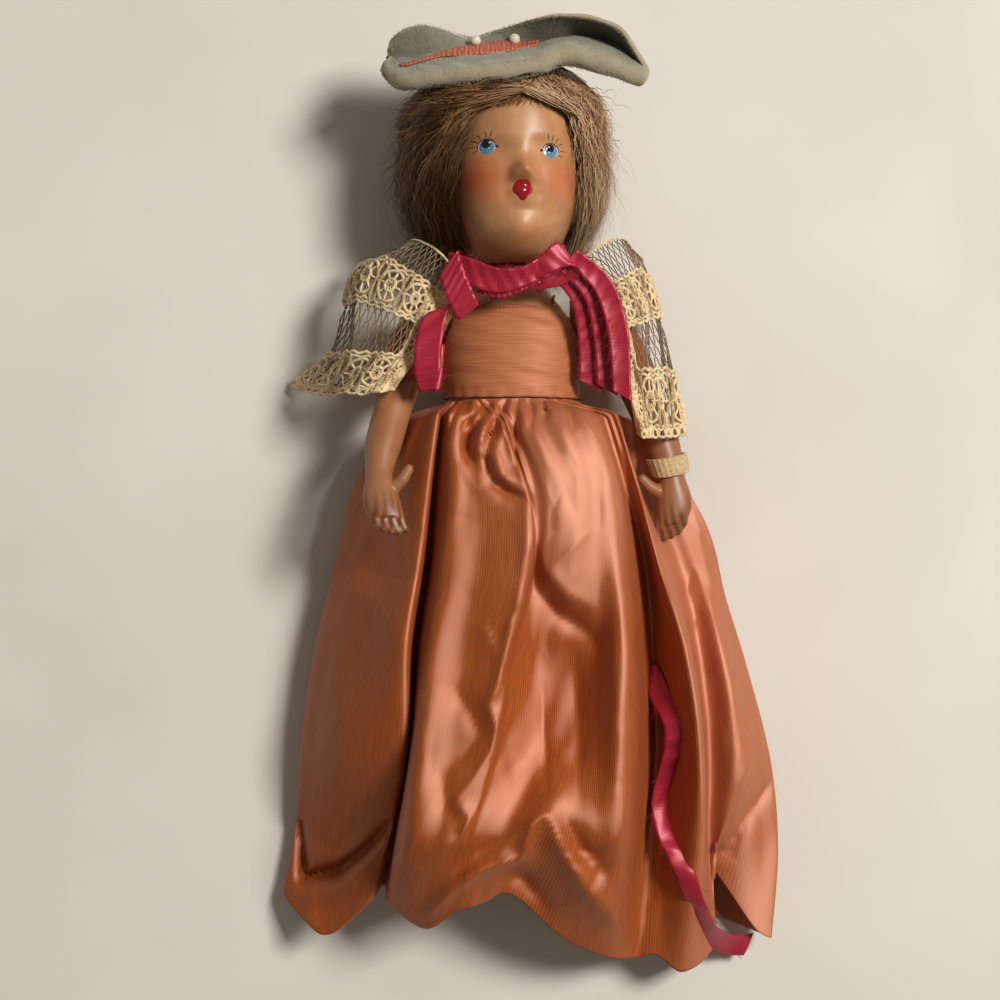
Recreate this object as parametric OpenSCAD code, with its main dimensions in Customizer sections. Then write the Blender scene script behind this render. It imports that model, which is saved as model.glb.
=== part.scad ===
// A small hard plastic doll in a taffeta gown, lying on its back. Sizes are in millimetres.
// X runs to the doll's left, Y runs to its head, Z runs up out of its front.

/* [Stature] */
// Sole to hip axis
leg_len = 69; // [66:1:72]
// Hip axis to shoulder axis
trunk_len = 42; // [40:1:44]
// Shoulder axis to the opening for the neck
collar_rise = 8.5; // [8:0.5:9.5]
// Bare neck between the body and the chin
neck_len = 3.5; // [3.2:0.1:4.5]
// Height of the moulding seam above the surface that the doll lies on
seam_z = 15; // [14.5:0.5:16]

/* [Head] */
// Chin to crown
head_h = 41; // [39:1:43]
// Width across the cheeks
head_w = 29; // [27:1:30]
// Seam to forehead
face_depth = 20.5; // [19:0.5:21.5]
// Seam to the back of the skull
skull_depth = 12; // [11:0.5:12.5]
// How far the nose stands out
nose_out = 2.4; // [1.5:0.1:3]
// Radius of the neck
neck_r = 4.4; // [4:0.1:4.8]
// Wall of every hollow plastic shell
wall = 1.6; // [1.2:0.1:1.9]
// Turn of the head to the doll's left as it lies
head_yaw = 6; // [0:1:12]

/* [Body] */
// Width at the hips
hip_w = 27.6; // [26:1:30]
// Width at the waist
waist_w = 27; // [25:1:29]
// Width at the chest
chest_w = 27.6; // [27:0.2:30]
// Seam to belly
belly_depth = 12.6; // [11.5:0.1:13.5]
// Seam to back
rear_depth = 11; // [10:0.1:11.5]
// Width of the crotch between the legs
crotch_w = 9; // [8:0.5:10]

/* [Arms] */
// Radius of the round boss that turns in the shoulder hole
boss_r = 4.9; // [4.4:0.1:5.2]
// Half width of the upper arm
arm_half = 4.8; // [4.4:0.1:5.1]
// Half width of the wrist
wrist_half = 2.9; // [2.6:0.1:3.2]
// Swing of the doll's right arm, forward from hanging
right_swing = 16; // [14:1:20]
// Swing of the doll's left arm
left_swing = -6; // [-8:1:-2]
// Outward lean of the right arm
right_lean = -1; // [-2:0.5:2]
// Outward lean of the left arm
left_lean = 10; // [8:0.5:12]

/* [Legs] */
// Radius of the round top of the thigh
thigh_r = 6.8; // [6.2:0.1:7]
// Width of the thigh
thigh_w = 10.6; // [9.6:0.1:11.2]
// Half width of the ankle
ankle_half = 3.3; // [3:0.1:3.8]
// Length of the shoe
shoe_len = 15; // [13:0.5:16]
// Width of the shoe
shoe_w = 8; // [7:0.5:9]

/* [Gown] */
// Thickness of the taffeta as drawn
cloth_t = 0.6; // [0.4:0.1:0.8]
// Waist seam above the hip axis
waist_rise = 26; // [25:0.5:27]
// Edge of the neckline above the shoulder axis
neckline_rise = 2.6; // [2:0.2:4]
// Reach of the hem to the doll's right
hem_right = 47.6; // [45:0.2:50]
// Reach of the hem to the doll's left
hem_left = 56; // [54:0.5:58]
// Height of the skirt over the feet
hem_high = 42.5; // [42:0.5:45]
// Hem beyond the soles, over the feet
front_drop = 12; // [10:0.5:14]
// Hem beyond the soles, where it hangs lowest
back_drop = 26; // [24:0.5:28]
// Radius of the armhole of the bodice
armhole_r = 6.6; // [6.2:0.1:7]
// Radius of a snap
snap_r = 1.5; // [1.2:0.1:2]

/* [Trim] */
// Thickness of the lace as drawn
lace_t = 0.8; // [0.6:0.1:1]
// Width of the satin ribbon, a quarter inch
ribbon_w = 6.35; // [5.5:0.05:7]
// Thickness of the ribbon as drawn
ribbon_t = 0.5; // [0.4:0.1:0.7]
// Height of the ribbon band where it is drawn tight round the neck
band_h = 2.6; // [2.2:0.1:2.8]
// Thickness of the felt
felt_t = 1.8; // [1.4:0.1:2.2]
// Radius of a hat pin's head
pin_head_r = 1.1; // [0.9:0.1:1.3]
// Length of a hat pin
pin_len = 5; // [5:0.5:7]

/* [Wig] */
// Fullness of the curls on the doll's right
curl_right = 10; // [8:0.5:11]
// Fullness of the curls on the doll's left
curl_left = 5.2; // [4:0.2:6]
// Thickness of the hair behind the head
hair_back = 1.5; // [1.2:0.1:1.6]
// Thickness of the wig cap
cap_t = 0.5; // [0.4:0.1:0.7]

/* [Stringing] */
// Radius of the hook wire
wire_r = 0.45; // [0.35:0.05:0.55]
// Radius of a hook's eye
eye_r = 1.5; // [1.4:0.1:1.8]
// Radius of the elastic
elastic_r = 0.55; // [0.4:0.05:0.6]

/* [Fits] */
// Clearance of a moving fit
fit_gap = 0.35; // [0.3:0.05:0.5]
// Clearance of cloth over what it lies on
lie_gap = 0.25; // [0.2:0.05:0.3]
// Gap at a cemented seam
seam_gap = 0.04; // [0.02:0.01:0.08]

/* [Hidden] */
$fn = 48;

skin = [0.86, 0.65, 0.48];
taffeta = [0.72, 0.42, 0.32];
satin = [0.70, 0.10, 0.20];
ecru = [0.88, 0.84, 0.75];
felt = [0.72, 0.76, 0.66];
steel = [0.6, 0.6, 0.62];

hip_y = leg_len;
shoulder_y = hip_y + trunk_len;
collar_y = shoulder_y + collar_rise;
chin_y = collar_y + neck_len;
crown_y = chin_y + head_h;
waist_y = hip_y + waist_rise;
neckline_y = shoulder_y + neckline_rise;
// Outer side of the shoulder, where an arm begins
arm_x = chest_w/2 + fit_gap;
// Middle of a leg
leg_x = crotch_w/2 + fit_gap + thigh_w/2;
neck_hole_r = neck_r + fit_gap;
bodice_grow = lie_gap + cloth_t;
// The origin lies under the middle of the whole doll's box
hat_reach = 10.7*head_h/41;
lay_x = (hem_right - hem_left)/2;
lay_y = (back_drop - crown_y - hat_reach)/2;

// A smooth curve through the rows of a short list, at u from 0 to 1
function along(rows, u) =
    let (n = len(rows) - 1,
         s = min(n - 0.000001, max(0, u*n)),
         i = floor(s),
         f = s - i,
         a = rows[max(0, i - 1)],
         b = rows[i],
         c = rows[i + 1],
         d = rows[min(n, i + 2)])
    0.5*(2*b + (c - a)*f + (2*a - 5*b + 4*c - d)*f*f + (3*b - a - 3*c + d)*f*f*f);
function mix(a, b, t) = a + (b - a)*t;
function ease(t) = let (c = min(1, max(0, t))) c*c*(3 - 2*c);
function bump(d, s) = exp(-d*d/(2*s*s));
function unit(v) = v/max(0.000001, norm(v));
function rounded(c, p) = sign(c)*pow(abs(c), 2/p);

// Triangles over a grid of points, numbered from start
function cells(rows, cols, start, wrap, flip) = [
    for (i = [0:rows - 2], j = [0:cols - (wrap ? 1 : 2)], k = [0, 1])
        let (a = start + i*cols + j,
             b = start + i*cols + (j + 1)%cols,
             t = k == 0 ? [a, b, b + cols] : [a, b + cols, a + cols])
        flip ? [t[2], t[1], t[0]] : t];
// Triangles that join a chain of points to the same chain of a second grid
function rim(chain, step) = [
    for (i = [0:len(chain) - 2], k = [0, 1])
        let (a = chain[i], b = chain[i + 1])
        k == 0 ? [b, a, a + step] : [b, a + step, b + step]];

// A polyhedron whose faces are turned outward by the sign of its volume
module outward(points, tris) {
    v = [for (t = tris) cross(points[t[0]], points[t[1]])*points[t[2]]];
    turn = v*[for (x = v) 1] > 0;
    polyhedron(points, [for (t = tris) turn ? [t[2], t[1], t[0]] : t]);
}
function flat(grid) = [for (row = grid) each row];

// A wall between two grids of equal size, closed all round
module shell(outer, inner, wrap = false) {
    r = len(outer);
    c = len(outer[0]);
    m = r*c;
    first = [for (j = [0:c - (wrap ? 0 : 1)]) j%c];
    last = [for (j = [c - (wrap ? 0 : 1):-1:0]) (r - 1)*c + j%c];
    near = [for (i = [r - 1:-1:0]) i*c];
    far = [for (i = [0:r - 1]) i*c + c - 1];
    outward(concat(flat(outer), flat(inner)),
        concat(cells(r, c, 0, wrap, false), cells(r, c, m, wrap, true), rim(first, m), rim(last, m),
            wrap ? [] : concat(rim(near, m), rim(far, m))));
}
// A solid through rings of points, capped at both ends
module loft(rings) {
    r = len(rings);
    c = len(rings[0]);
    ones = [for (j = [0:c - 1]) 1/c];
    caps = [for (j = [0:c - 1], k = [0, 1])
        k == 0 ? [(j + 1)%c, j, r*c] : [(r - 1)*c + j, (r - 1)*c + (j + 1)%c, r*c + 1]];
    outward(concat(flat(rings), [ones*rings[0], ones*rings[r - 1]]),
        concat(cells(r, c, 0, true, false), caps));
}
// Where a cloth stands off from a grid of points along its normals
function stand_off(g, t, wrap = false) =
    let (r = len(g), c = len(g[0]))
    [for (i = [0:r - 1]) [for (j = [0:c - 1])
        let (ja = wrap ? (j + c - 1)%c : max(0, j - 1),
             jb = wrap ? (j + 1)%c : min(c - 1, j + 1),
             across = g[i][jb] - g[i][ja],
             down = g[min(r - 1, i + 1)][j] - g[max(0, i - 1)][j])
        g[i][j] + t*unit(cross(across, down))]];
module cloth(g, t, wrap = false) {
    shell(stand_off(g, t, wrap), g, wrap);
}
// A grid of r by c points over a short net of control rows
function net(rows, r, c) = [for (i = [0:r]) [for (j = [0:c])
    along([for (row = rows) along(row, j/c)], i/r)]];
// A flat ribbon along a path, with its half width laid out along a second list
function strip(path, sides, n) = [for (i = [0:n])
    let (p = along(path, i/n), s = along(sides, i/n)) [p - s, p + s]];
module lay() translate([lay_x, lay_y, 0]) children();
module yawed() translate([0, 0, seam_z]) rotate([0, head_yaw, 0]) translate([0, 0, -seam_z]) children();

// The head: share of its height, half width, depth before and behind the seam
head_rows = [
    [0, neck_r - 0.4, neck_r - 0.4, neck_r - 0.4],
    [0.03, 0.27*head_w, 0.62*face_depth, 0.55*skull_depth],
    [0.12, 0.37*head_w, 0.86*face_depth, 0.70*skull_depth],
    [0.25, 0.455*head_w, 0.95*face_depth, 0.83*skull_depth],
    [0.38, 0.492*head_w, 0.975*face_depth, 0.92*skull_depth],
    [0.51, 0.5*head_w, 0.99*face_depth, 0.98*skull_depth],
    [0.64, 0.492*head_w, 1.01*face_depth, skull_depth],
    [0.77, 0.45*head_w, 0.96*face_depth, 0.95*skull_depth],
    [0.885, 0.36*head_w, 0.77*face_depth, 0.79*skull_depth],
    [0.965, 0.22*head_w, 0.46*face_depth, 0.48*skull_depth],
    [1, 0.2, 0.2, 0.2]];
eye_y = chin_y + 0.53*head_h;
mouth_y = chin_y + 0.31*head_h;
// Modelling of the face, added forward
function face_relief(x, y) =
    nose_out*bump(x, 1.7)*bump(y - eye_y + 5.4, 2.3)
    + 0.8*(bump(x - 7, 3.6) + bump(x + 7, 3.6))*bump(y - mouth_y - 2.6, 3.6)
    + 0.9*bump(x, 3)*bump(y - chin_y - 4.6, 2.6)
    + 0.7*bump(x, 1.9)*bump(y - mouth_y, 1.7)
    - 0.7*(bump(x - 6.6, 2.4) + bump(x + 6.6, 2.4))*bump(y - eye_y, 2);
// One half of the head as a grid, from the seam on one side to the seam on the other
function head_half(front, rows, cols, thin) = [for (i = [0:rows])
    let (h = along(head_rows, i/rows),
         y = chin_y + (head_h - thin)*h[0],
         w = max(0.2, h[1] - (i == 0 ? 0.5*thin : thin)),
         d = max(0.2, h[front ? 2 : 3] - (i == 0 ? 0.5*thin : thin)))
    [for (j = [0:cols])
        let (a = 180*j/cols,
             x = w*rounded(cos(a), 2.15),
             z = d*rounded(sin(a), 2.15),
             lift = front ? sin(a)*face_relief(x, y) : 0)
        [x, y, seam_z + (front ? z + lift : -z - seam_gap)]]];
// Half of the neck, turned about its own axis
module neck_half(front) {
    profile = [[wire_r + 0.15, -2.6], [neck_r - 0.4, -2.6], [neck_r, -2.2], [neck_r, fit_gap],
        [neck_r + 1, fit_gap], [neck_r + 1, 1.3], [neck_r, 1.3], [neck_r, neck_len + 1.2],
        [neck_r - wall, neck_len + 1.2], [neck_r - wall, -1], [wire_r + 0.15, -1]];
    translate([0, collar_y, seam_z - (front ? 0 : seam_gap)])
        rotate([-90, 0, 0])
        rotate([0, 0, front ? 180 : 0])
        rotate_extrude(angle = 180)
        polygon(profile);
}
module head_face() {
    color(skin) yawed() union() {
        shell(head_half(true, 22, 18, 0), head_half(true, 22, 18, wall));
        neck_half(true);
    }
}
module head_back() {
    color(skin) yawed() union() {
        shell(head_half(false, 12, 10, 0), head_half(false, 12, 10, wall));
        neck_half(false);
    }
}
// A wire hook: a straight shank from the origin along X with an eye at its end
module hook(shank) {
    rotate([0, 90, 0]) cylinder(r = 0.85*wire_r, h = shank - eye_r);
    translate([shank, 0, 0]) rotate([90, 0, 0]) rotate_extrude() translate([eye_r, 0]) circle(r = wire_r);
}
neck_shank = 9.6;
module neck_hook() {
    color(steel) yawed() translate([0, collar_y - 0.9, seam_z]) union() {
        rotate([0, 0, -90]) hook(neck_shank);
        rotate([-90, 0, 0]) cylinder(r = neck_r - wall - 0.3, h = 0.9);
    }
}

// The wig: share of the way up the head, fullness on the doll's right and left, behind, and the face opening
wig_rows = [
    [0.075, 0.95*curl_right, curl_left, 1.1*hair_back, 80],
    [0.2, curl_right, curl_left, 1.1*hair_back, 70],
    [0.35, 0.95*curl_right, 0.95*curl_left, hair_back, 64],
    [0.5, 0.92*curl_right, 0.92*curl_left, hair_back, 60],
    [0.62, 0.92*curl_right, 0.95*curl_left, hair_back, 55],
    [0.74, curl_right, 1.05*curl_left, hair_back, 42],
    [0.86, 0.95*curl_right, 1.2*curl_left, 1.2*hair_back, 8],
    [1, 0.75*curl_right, 1.2*curl_left, 2*hair_back, 6]];
// A ring part round the head at u along its rows, grown outward to the doll's right, left and back
function head_arc(u, rise, right, left, back, open, cols) =
    let (h = along(head_rows, u), y = chin_y + head_h*h[0] + rise)
    [for (j = [0:cols])
        let (a = open + (360 - 2*open)*j/cols,
             s = sin(a),
             c = cos(a),
             side = s > 0 ? left : right,
             w = h[1] + side,
             d = c > 0 ? h[2] + mix(1.2, side, 0.35)*min(1, side) : h[3] + back)
        [w*rounded(s, 2.15), y, seam_z + d*rounded(c, 2.15)]];
// Where along the list of head rows a share of the height is reached
function share_at(share, k = 0) =
    k >= len(head_rows) - 2 || head_rows[k + 1][0] >= share
    ? (k + (share - head_rows[k][0])/(head_rows[k + 1][0] - head_rows[k][0]))/(len(head_rows) - 1)
    : share_at(share, k + 1);
wig_n = 14;
module wig() {
    low = cap_low + cap_t + 0.5;
    outer = [for (i = [0:wig_n]) let (r = along(wig_rows, i/wig_n))
        head_arc(share_at(r[0]), 3*ease(r[0]*6 - 5), r[1] + low, r[2] + low, r[3] + low, r[4], 20)];
    inner = [for (i = [0:wig_n]) let (r = along(wig_rows, i/wig_n))
        head_arc(share_at(r[0]), ease(r[0]*5 - 4)*1.7*low, low, low, low, r[4], 20)];
    color([0.45, 0.34, 0.22]) yawed() shell(outer, inner);
}
// The cap lies on the head, and its own low side stands clear of the head's facets
cap_n = 13;
cap_low = lie_gap + 0.2;
function cap_grid(grow) = [for (i = [0:cap_n])
    let (u = mix(share_at(0.22), 1, i/cap_n), s = along(head_rows, u)[0])
    head_arc(u, ease(s*6 - 5)*grow, grow, grow, grow, mix(80, 9, ease(s*2 - 1)), 18)];
module wig_cap() {
    color([0.3, 0.25, 0.2]) yawed() shell(cap_grid(cap_low + cap_t), cap_grid(cap_low));
}

// The felt hat: front edge, trough and back edge, each from the doll's right to its left, above the crown
function hat_row(points) = [for (p = points)
    [p[0]*head_w/29, crown_y + p[1]*head_h/41, seam_z + p[2]*face_depth/20.5]];
hat_front = hat_row([[-26, -2.8, 12.6], [-24.4, -6.1, 15.5], [-18.5, -6, 18.2], [-10.6, -5.6, 20],
    [-3.4, -5, 20.8], [3.7, -3.6, 20.4], [9.6, -1.4, 18.4], [18.8, -2, 17.2], [26.4, -7, 16.4]]);
hat_trough = hat_row([[-26.4, 0.4, 9.2], [-21.8, 0.8, 6], [-16.3, 1.7, 5.3], [-9.3, 2.2, 6.6],
    [-2, 2.7, 7.8], [6, 2.8, 8.4], [13, 3, 7.6], [21.2, 1.2, 7.4], [28, -4.4, 12]]);
hat_back = hat_row([[-26.4, 3.8, 6.2], [-23, 7, 9.2], [-17.1, 8.4, 8.8], [-9.3, 7.2, 4.6],
    [-1.2, 9, 9], [7.2, 10.4, 10.6], [16.8, 10.4, 10], [25.6, 6.6, 8.6], [29, -1.2, 8]]);
function hat_net(r, c) = net([hat_front, hat_trough, hat_back], r, c);
module felt_hat() {
    color(felt) yawed() cloth(hat_net(10, 21), felt_t);
}
// A point on the upper side of the felt and the felt's normal there
function hat_spot(t, r) =
    let (rows = [hat_front, hat_trough, hat_back],
         at = function(a, b) along([for (row = rows) along(row, a)], b),
         p = at(t, r),
         n = unit(cross(at(t + 0.01, r) - p, at(t, r + 0.01) - p)))
    [p + n*felt_t, n];
module hat_ribbon() {
    grid = [for (i = [0:14]) [for (j = [0:2])
        let (s = hat_spot(mix(0.12, 0.62, i/14), mix(0.3, 0.46, j/2))) s[0] + s[1]*lie_gap]];
    color([0.65, 0.2, 0.25]) yawed() cloth([for (row = grid) [row[2], row[1], row[0]]], ribbon_t);
}
module hat_pins() {
    color([0.9, 0.88, 0.8]) yawed() for (t = [0.4, 0.53]) {
        s = hat_spot(t, 0.38);
        top = s[0] + s[1]*(2*lie_gap + ribbon_t + pin_head_r);
        translate(top) sphere(r = pin_head_r);
        translate(top) rotate([0, acos(-s[1][2]), atan2(-s[1][1], -s[1][0])])
            cylinder(r = 0.3, h = pin_len);
    }
}

// The body: height, half width, depth before and behind the seam
body_rows = [
    [hip_y - 9, 0.2, 0.2, 0.2],
    [hip_y - 7.6, 0.24*hip_w, 0.5*belly_depth, 0.6*rear_depth],
    [hip_y - 1, 0.45*hip_w, 0.84*belly_depth, 0.98*rear_depth],
    [hip_y + 9, 0.5*hip_w, belly_depth, rear_depth],
    [waist_y, 0.5*waist_w, 0.97*belly_depth, 0.93*rear_depth],
    [shoulder_y - 8, 0.5*chest_w, 0.93*belly_depth, 0.97*rear_depth],
    [shoulder_y, 0.49*chest_w, 0.78*belly_depth, 0.9*rear_depth],
    [shoulder_y + 4.8, 0.335*chest_w, 0.58*belly_depth, 0.72*rear_depth],
    [collar_y, neck_hole_r + wall, neck_hole_r + wall, neck_hole_r + wall]];
// Where along the list the waist and the top of the bodice are
waist_u = 4/8;
bodice_u = 7.2/8;
function body_half(front, rows, cols, thin) = [for (i = [0:rows])
    let (b = along(body_rows, i/rows),
         y = b[0] + (i == 0 ? thin : 0),
         w = max(0.2, b[1] - thin),
         d = max(0.2, b[front ? 2 : 3] - thin))
    [for (j = [0:cols])
        let (a = 180*j/cols, z = d*rounded(sin(a), 2.2))
        [w*rounded(cos(a), 2.2), y, seam_z + (front ? z : -z - seam_gap)]]];
function body_ring(u, grow, cols) =
    let (b = along(body_rows, u))
    [for (j = [0:cols - 1])
        let (a = 360*j/cols, s = sin(a))
        [(b[1] + grow)*rounded(cos(a), 2.2), b[0], seam_z + ((s > 0 ? b[2] : b[3]) + grow)*rounded(s, 2.2)]];
// What the arms and legs take out of the body: round holes at the shoulders, round seats at the hips
module joint_room() {
    for (s = [-1, 1]) {
        translate([s*0.25*chest_w, shoulder_y, seam_z]) rotate([0, s*90, 0])
            cylinder(r = boss_r + fit_gap, h = chest_w);
        translate([s*crotch_w/2, hip_y, seam_z]) rotate([0, s*90, 0])
            cylinder(r = thigh_r + fit_gap, h = hip_w);
        translate([s*(crotch_w/2 + hip_w/2), hip_y - 10, seam_z])
            cube([hip_w, 20, 4*belly_depth], center = true);
    }
}
module torso_front() {
    color(skin) difference() {
        shell(body_half(true, 16, 12, 0), body_half(true, 16, 12, wall));
        joint_room();
    }
}
module torso_back() {
    color(skin) difference() {
        shell(body_half(false, 16, 10, 0), body_half(false, 16, 10, wall));
        joint_room();
    }
}

// An arm below its shoulder: fall, outward and forward of the middle, half width, half thickness
arm_k = arm_half/4.8;
arm_rows = [
    [5.5*arm_k, arm_half, 0, 1, 1.2],
    [4.3*arm_k, arm_half, 0, 0.7*arm_half, 0.8*arm_half],
    [0, arm_half, 0, arm_half, 1.14*arm_half],
    [-7*arm_k, arm_half + 2.2*arm_k, 0, 0.97*arm_half, 1.04*arm_half],
    [-14*arm_k, arm_half + 4.5*arm_k, 0.2*arm_k, 0.88*arm_half, 0.94*arm_half],
    [-20*arm_k, arm_half + 6.2*arm_k, 0.9*arm_k, 0.84*arm_half, 0.9*arm_half],
    [-27*arm_k, arm_half + 7.8*arm_k, 2.4*arm_k, 0.8*arm_half, 0.82*arm_half],
    [-33*arm_k, arm_half + 8.6*arm_k, 4.1*arm_k, wrist_half, wrist_half],
    [-35.4*arm_k, arm_half + 8.8*arm_k, 4.8*arm_k, wrist_half, 0.95*wrist_half],
    [-39*arm_k, arm_half + 8.8*arm_k, 5.6*arm_k, wrist_half + 1, 0.9*wrist_half],
    [-42*arm_k, arm_half + 8.5*arm_k, 6.2*arm_k, wrist_half + 1.1, 0.8*wrist_half],
    [-44*arm_k, arm_half + 8.2*arm_k, 6.5*arm_k, wrist_half + 0.6, 0.6*wrist_half]];
function arm_ring(u, grow, cols) =
    let (r = along(arm_rows, u))
    [for (j = [0:cols - 1])
        let (a = 360*j/cols) [r[1] + (r[3] + grow)*cos(a), r[0], r[2] + (r[4] + grow)*sin(a)]];
// Puts an arm's own frame at the doll's left shoulder, or mirrors it to the right one
module at_shoulder(side, swing, lean) {
    mirror([side < 0 ? 1 : 0, 0, 0])
        translate([arm_x, shoulder_y, seam_z])
        rotate([-swing, 0, 0])
        rotate([0, 0, lean])
        children();
}
module finger(from, to, r) {
    hull() {
        translate(from) sphere(r = r, $fn = 8);
        translate(to) sphere(r = 0.85*r, $fn = 8);
    }
}
module arm(side, swing, lean) {
    palm = arm_half + 8.4*arm_k;
    color(skin) union() {
        at_shoulder(side, swing, lean) {
            loft([for (i = [0:22]) arm_ring(i/22, 0, 12)]);
            for (k = [0:3])
                finger([palm + (k - 1.5)*1.75*arm_k, -42*arm_k, 6.2*arm_k],
                    [palm + (k*1.6 - 3.3)*arm_k, (-47.2 + 0.4*abs(k - 1.3))*arm_k, 7.4*arm_k], 1.05*arm_k);
            finger([palm - 2.4*arm_k, -37.5*arm_k, 5.4*arm_k],
                [palm - 6*arm_k, -34.6*arm_k, 6.8*arm_k], 1.25*arm_k);
        }
        at_shoulder(side, swing, 0) translate([-wall - fit_gap, 0, 0]) rotate([0, 90, 0])
            cylinder(r = boss_r, h = wall + fit_gap + 0.4*arm_half);
    }
}
module left_arm() arm(1, left_swing, left_lean);
module right_arm() arm(-1, right_swing, right_lean);
arm_shank = 4.2;
module arm_hook(side, swing) {
    color(steel) at_shoulder(side, swing, 0) translate([-wall - fit_gap, 0, 0])
        rotate([0, 0, 180]) hook(arm_shank);
}
module left_arm_hook() arm_hook(1, left_swing);
module right_arm_hook() arm_hook(-1, right_swing);
module sleeve(side, swing, lean) {
    // The same rows and columns as the arm, so that the facets lie parallel
    outer = [for (i = [5.6, 6, 7, 8]) arm_ring(i/22, lie_gap + cloth_t, 12)];
    inner = [for (i = [5.6, 6, 7, 8]) arm_ring(i/22, lie_gap, 12)];
    color(taffeta) at_shoulder(side, swing, lean) shell(outer, inner, true);
}
module left_sleeve() sleeve(1, left_swing, left_lean);
module right_sleeve() sleeve(-1, right_swing, right_lean);
module wrist_band() {
    outer = [for (i = [0:2]) arm_ring(mix(6.5, 7.5, i/2)/11, lie_gap + 1, 14)];
    inner = [for (i = [0:2]) arm_ring(mix(6.5, 7.5, i/2)/11, lie_gap, 14)];
    color(ecru) at_shoulder(1, left_swing, left_lean) shell(outer, inner, true);
}
// An elastic eye, square to the wire eye it links with
module elastic_eye(p, turn) {
    translate(p) rotate(turn) rotate_extrude() translate([eye_r, 0]) circle(r = elastic_r);
}
module strand(a, b) {
    d = b - a;
    translate(a) rotate([0, acos(d[2]/norm(d)), atan2(d[1], d[0])])
        cylinder(r = 0.85*elastic_r, h = norm(d));
}
module arm_elastic() {
    x = arm_x - wall - fit_gap - arm_shank - eye_r;
    // Far enough forward to pass the neck hook's shank
    bend = wire_r + elastic_r + 2*fit_gap;
    reach = x - eye_r;
    arc_r = (reach*reach + bend*bend)/(2*bend);
    turn = 2*asin(reach/arc_r);
    color([0.9, 0.86, 0.75]) translate([0, shoulder_y, seam_z]) union() {
        for (s = [-1, 1]) elastic_eye([s*x, 0, 0], [0, 0, 0]);
        translate([0, 0, bend - arc_r]) rotate([90, 0, 0]) rotate([0, 0, 90 - turn/2])
            rotate_extrude(angle = turn) translate([arc_r, 0]) circle(r = 0.85*elastic_r);
    }
}

leg_rows = [
    [0, 0.5*thigh_w, thigh_r, thigh_r],
    [-0.2, 0.49*thigh_w, 0.96*thigh_r, 0.97*thigh_r],
    [-0.45, 0.44*thigh_w, 0.8*thigh_r, 0.76*thigh_r],
    [-0.53, 0.43*thigh_w, 0.78*thigh_r, 0.72*thigh_r],
    [-0.68, 0.42*thigh_w, 0.7*thigh_r, 0.8*thigh_r],
    [-0.87, ankle_half, 1.08*ankle_half, 1.15*ankle_half],
    [-0.97, ankle_half, 1.15*ankle_half, 1.15*ankle_half]];
function leg_ring(u, cols) =
    let (r = along(leg_rows, u))
    [for (j = [0:cols - 1])
        let (a = 360*j/cols, s = sin(a)) [r[1]*cos(a), leg_len*r[0], (s > 0 ? r[2] : r[3])*s]];
module at_hip(side) {
    mirror([side < 0 ? 1 : 0, 0, 0]) translate([leg_x, hip_y, seam_z]) children();
}
// Distance from the leg's middle to the back of the heel
heel = 1.15*ankle_half + 0.6;
module leg(side) {
    color(skin) at_hip(side) union() {
        loft([for (i = [0:14]) leg_ring(i/14, 12)]);
        translate([-thigh_w/2, 0, 0]) rotate([0, 90, 0]) cylinder(r = thigh_r, h = thigh_w - 0.5);
        translate([0, -leg_len, 0]) hull() {
            translate([0, 0, shoe_w/2 - heel]) rotate([-90, 0, 0])
                cylinder(r = 0.46*shoe_w, h = 8, $fn = 16);
            translate([0, 0, shoe_len - heel - shoe_w/2]) rotate([-90, 0, 0])
                cylinder(r = shoe_w/2, h = 3.4, $fn = 16);
        }
    }
}
module left_leg() leg(1);
module right_leg() leg(-1);
leg_shank = 2.6;
module leg_hook(side) {
    color(steel) at_hip(side) translate([-thigh_w/2, 0, 0]) rotate([0, 0, 180]) hook(leg_shank);
}
module left_leg_hook() leg_hook(1);
module right_leg_hook() leg_hook(-1);
module leg_elastic() {
    top = [0, collar_y - 0.9 - neck_shank - eye_r, seam_z];
    // One ring of elastic links both leg hooks
    link_r = leg_x - thigh_w/2 - leg_shank;
    foot = [0, hip_y, seam_z];
    color([0.9, 0.86, 0.75]) union() {
        elastic_eye(top, [0, 0, 0]);
        translate(foot) rotate_extrude() translate([link_r, 0]) circle(r = elastic_r);
        for (s = [-1, 1])
            strand(top + eye_r*[s*sin(30), -cos(30), 0], foot + link_r*[s*sin(30), cos(30), 0]);
    }
}

module bodice() {
    rows = 8;
    color(taffeta) difference() {
        shell([for (i = [0:rows]) body_ring(mix(waist_u, bodice_u, i/rows), bodice_grow, 28)],
            [for (i = [0:rows]) body_ring(mix(waist_u, bodice_u, i/rows), lie_gap, 28)], true);
        for (s = [-1, 1]) translate([s*0.36*chest_w, shoulder_y, seam_z]) rotate([0, s*90, 0])
            cylinder(r = armhole_r, h = chest_w);
        translate([-8.2, neckline_y, seam_z]) cube([16.4, 20, 30]);
    }
}
module back_snaps() {
    color(steel) for (k = [0:2]) {
        u = mix(waist_u, 6.2/8, (k + 0.4)/3);
        b = along(body_rows, u);
        translate([0, b[0], seam_z - b[3] - bodice_grow - 1.2]) cylinder(r = snap_r, h = 1);
    }
}

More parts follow.
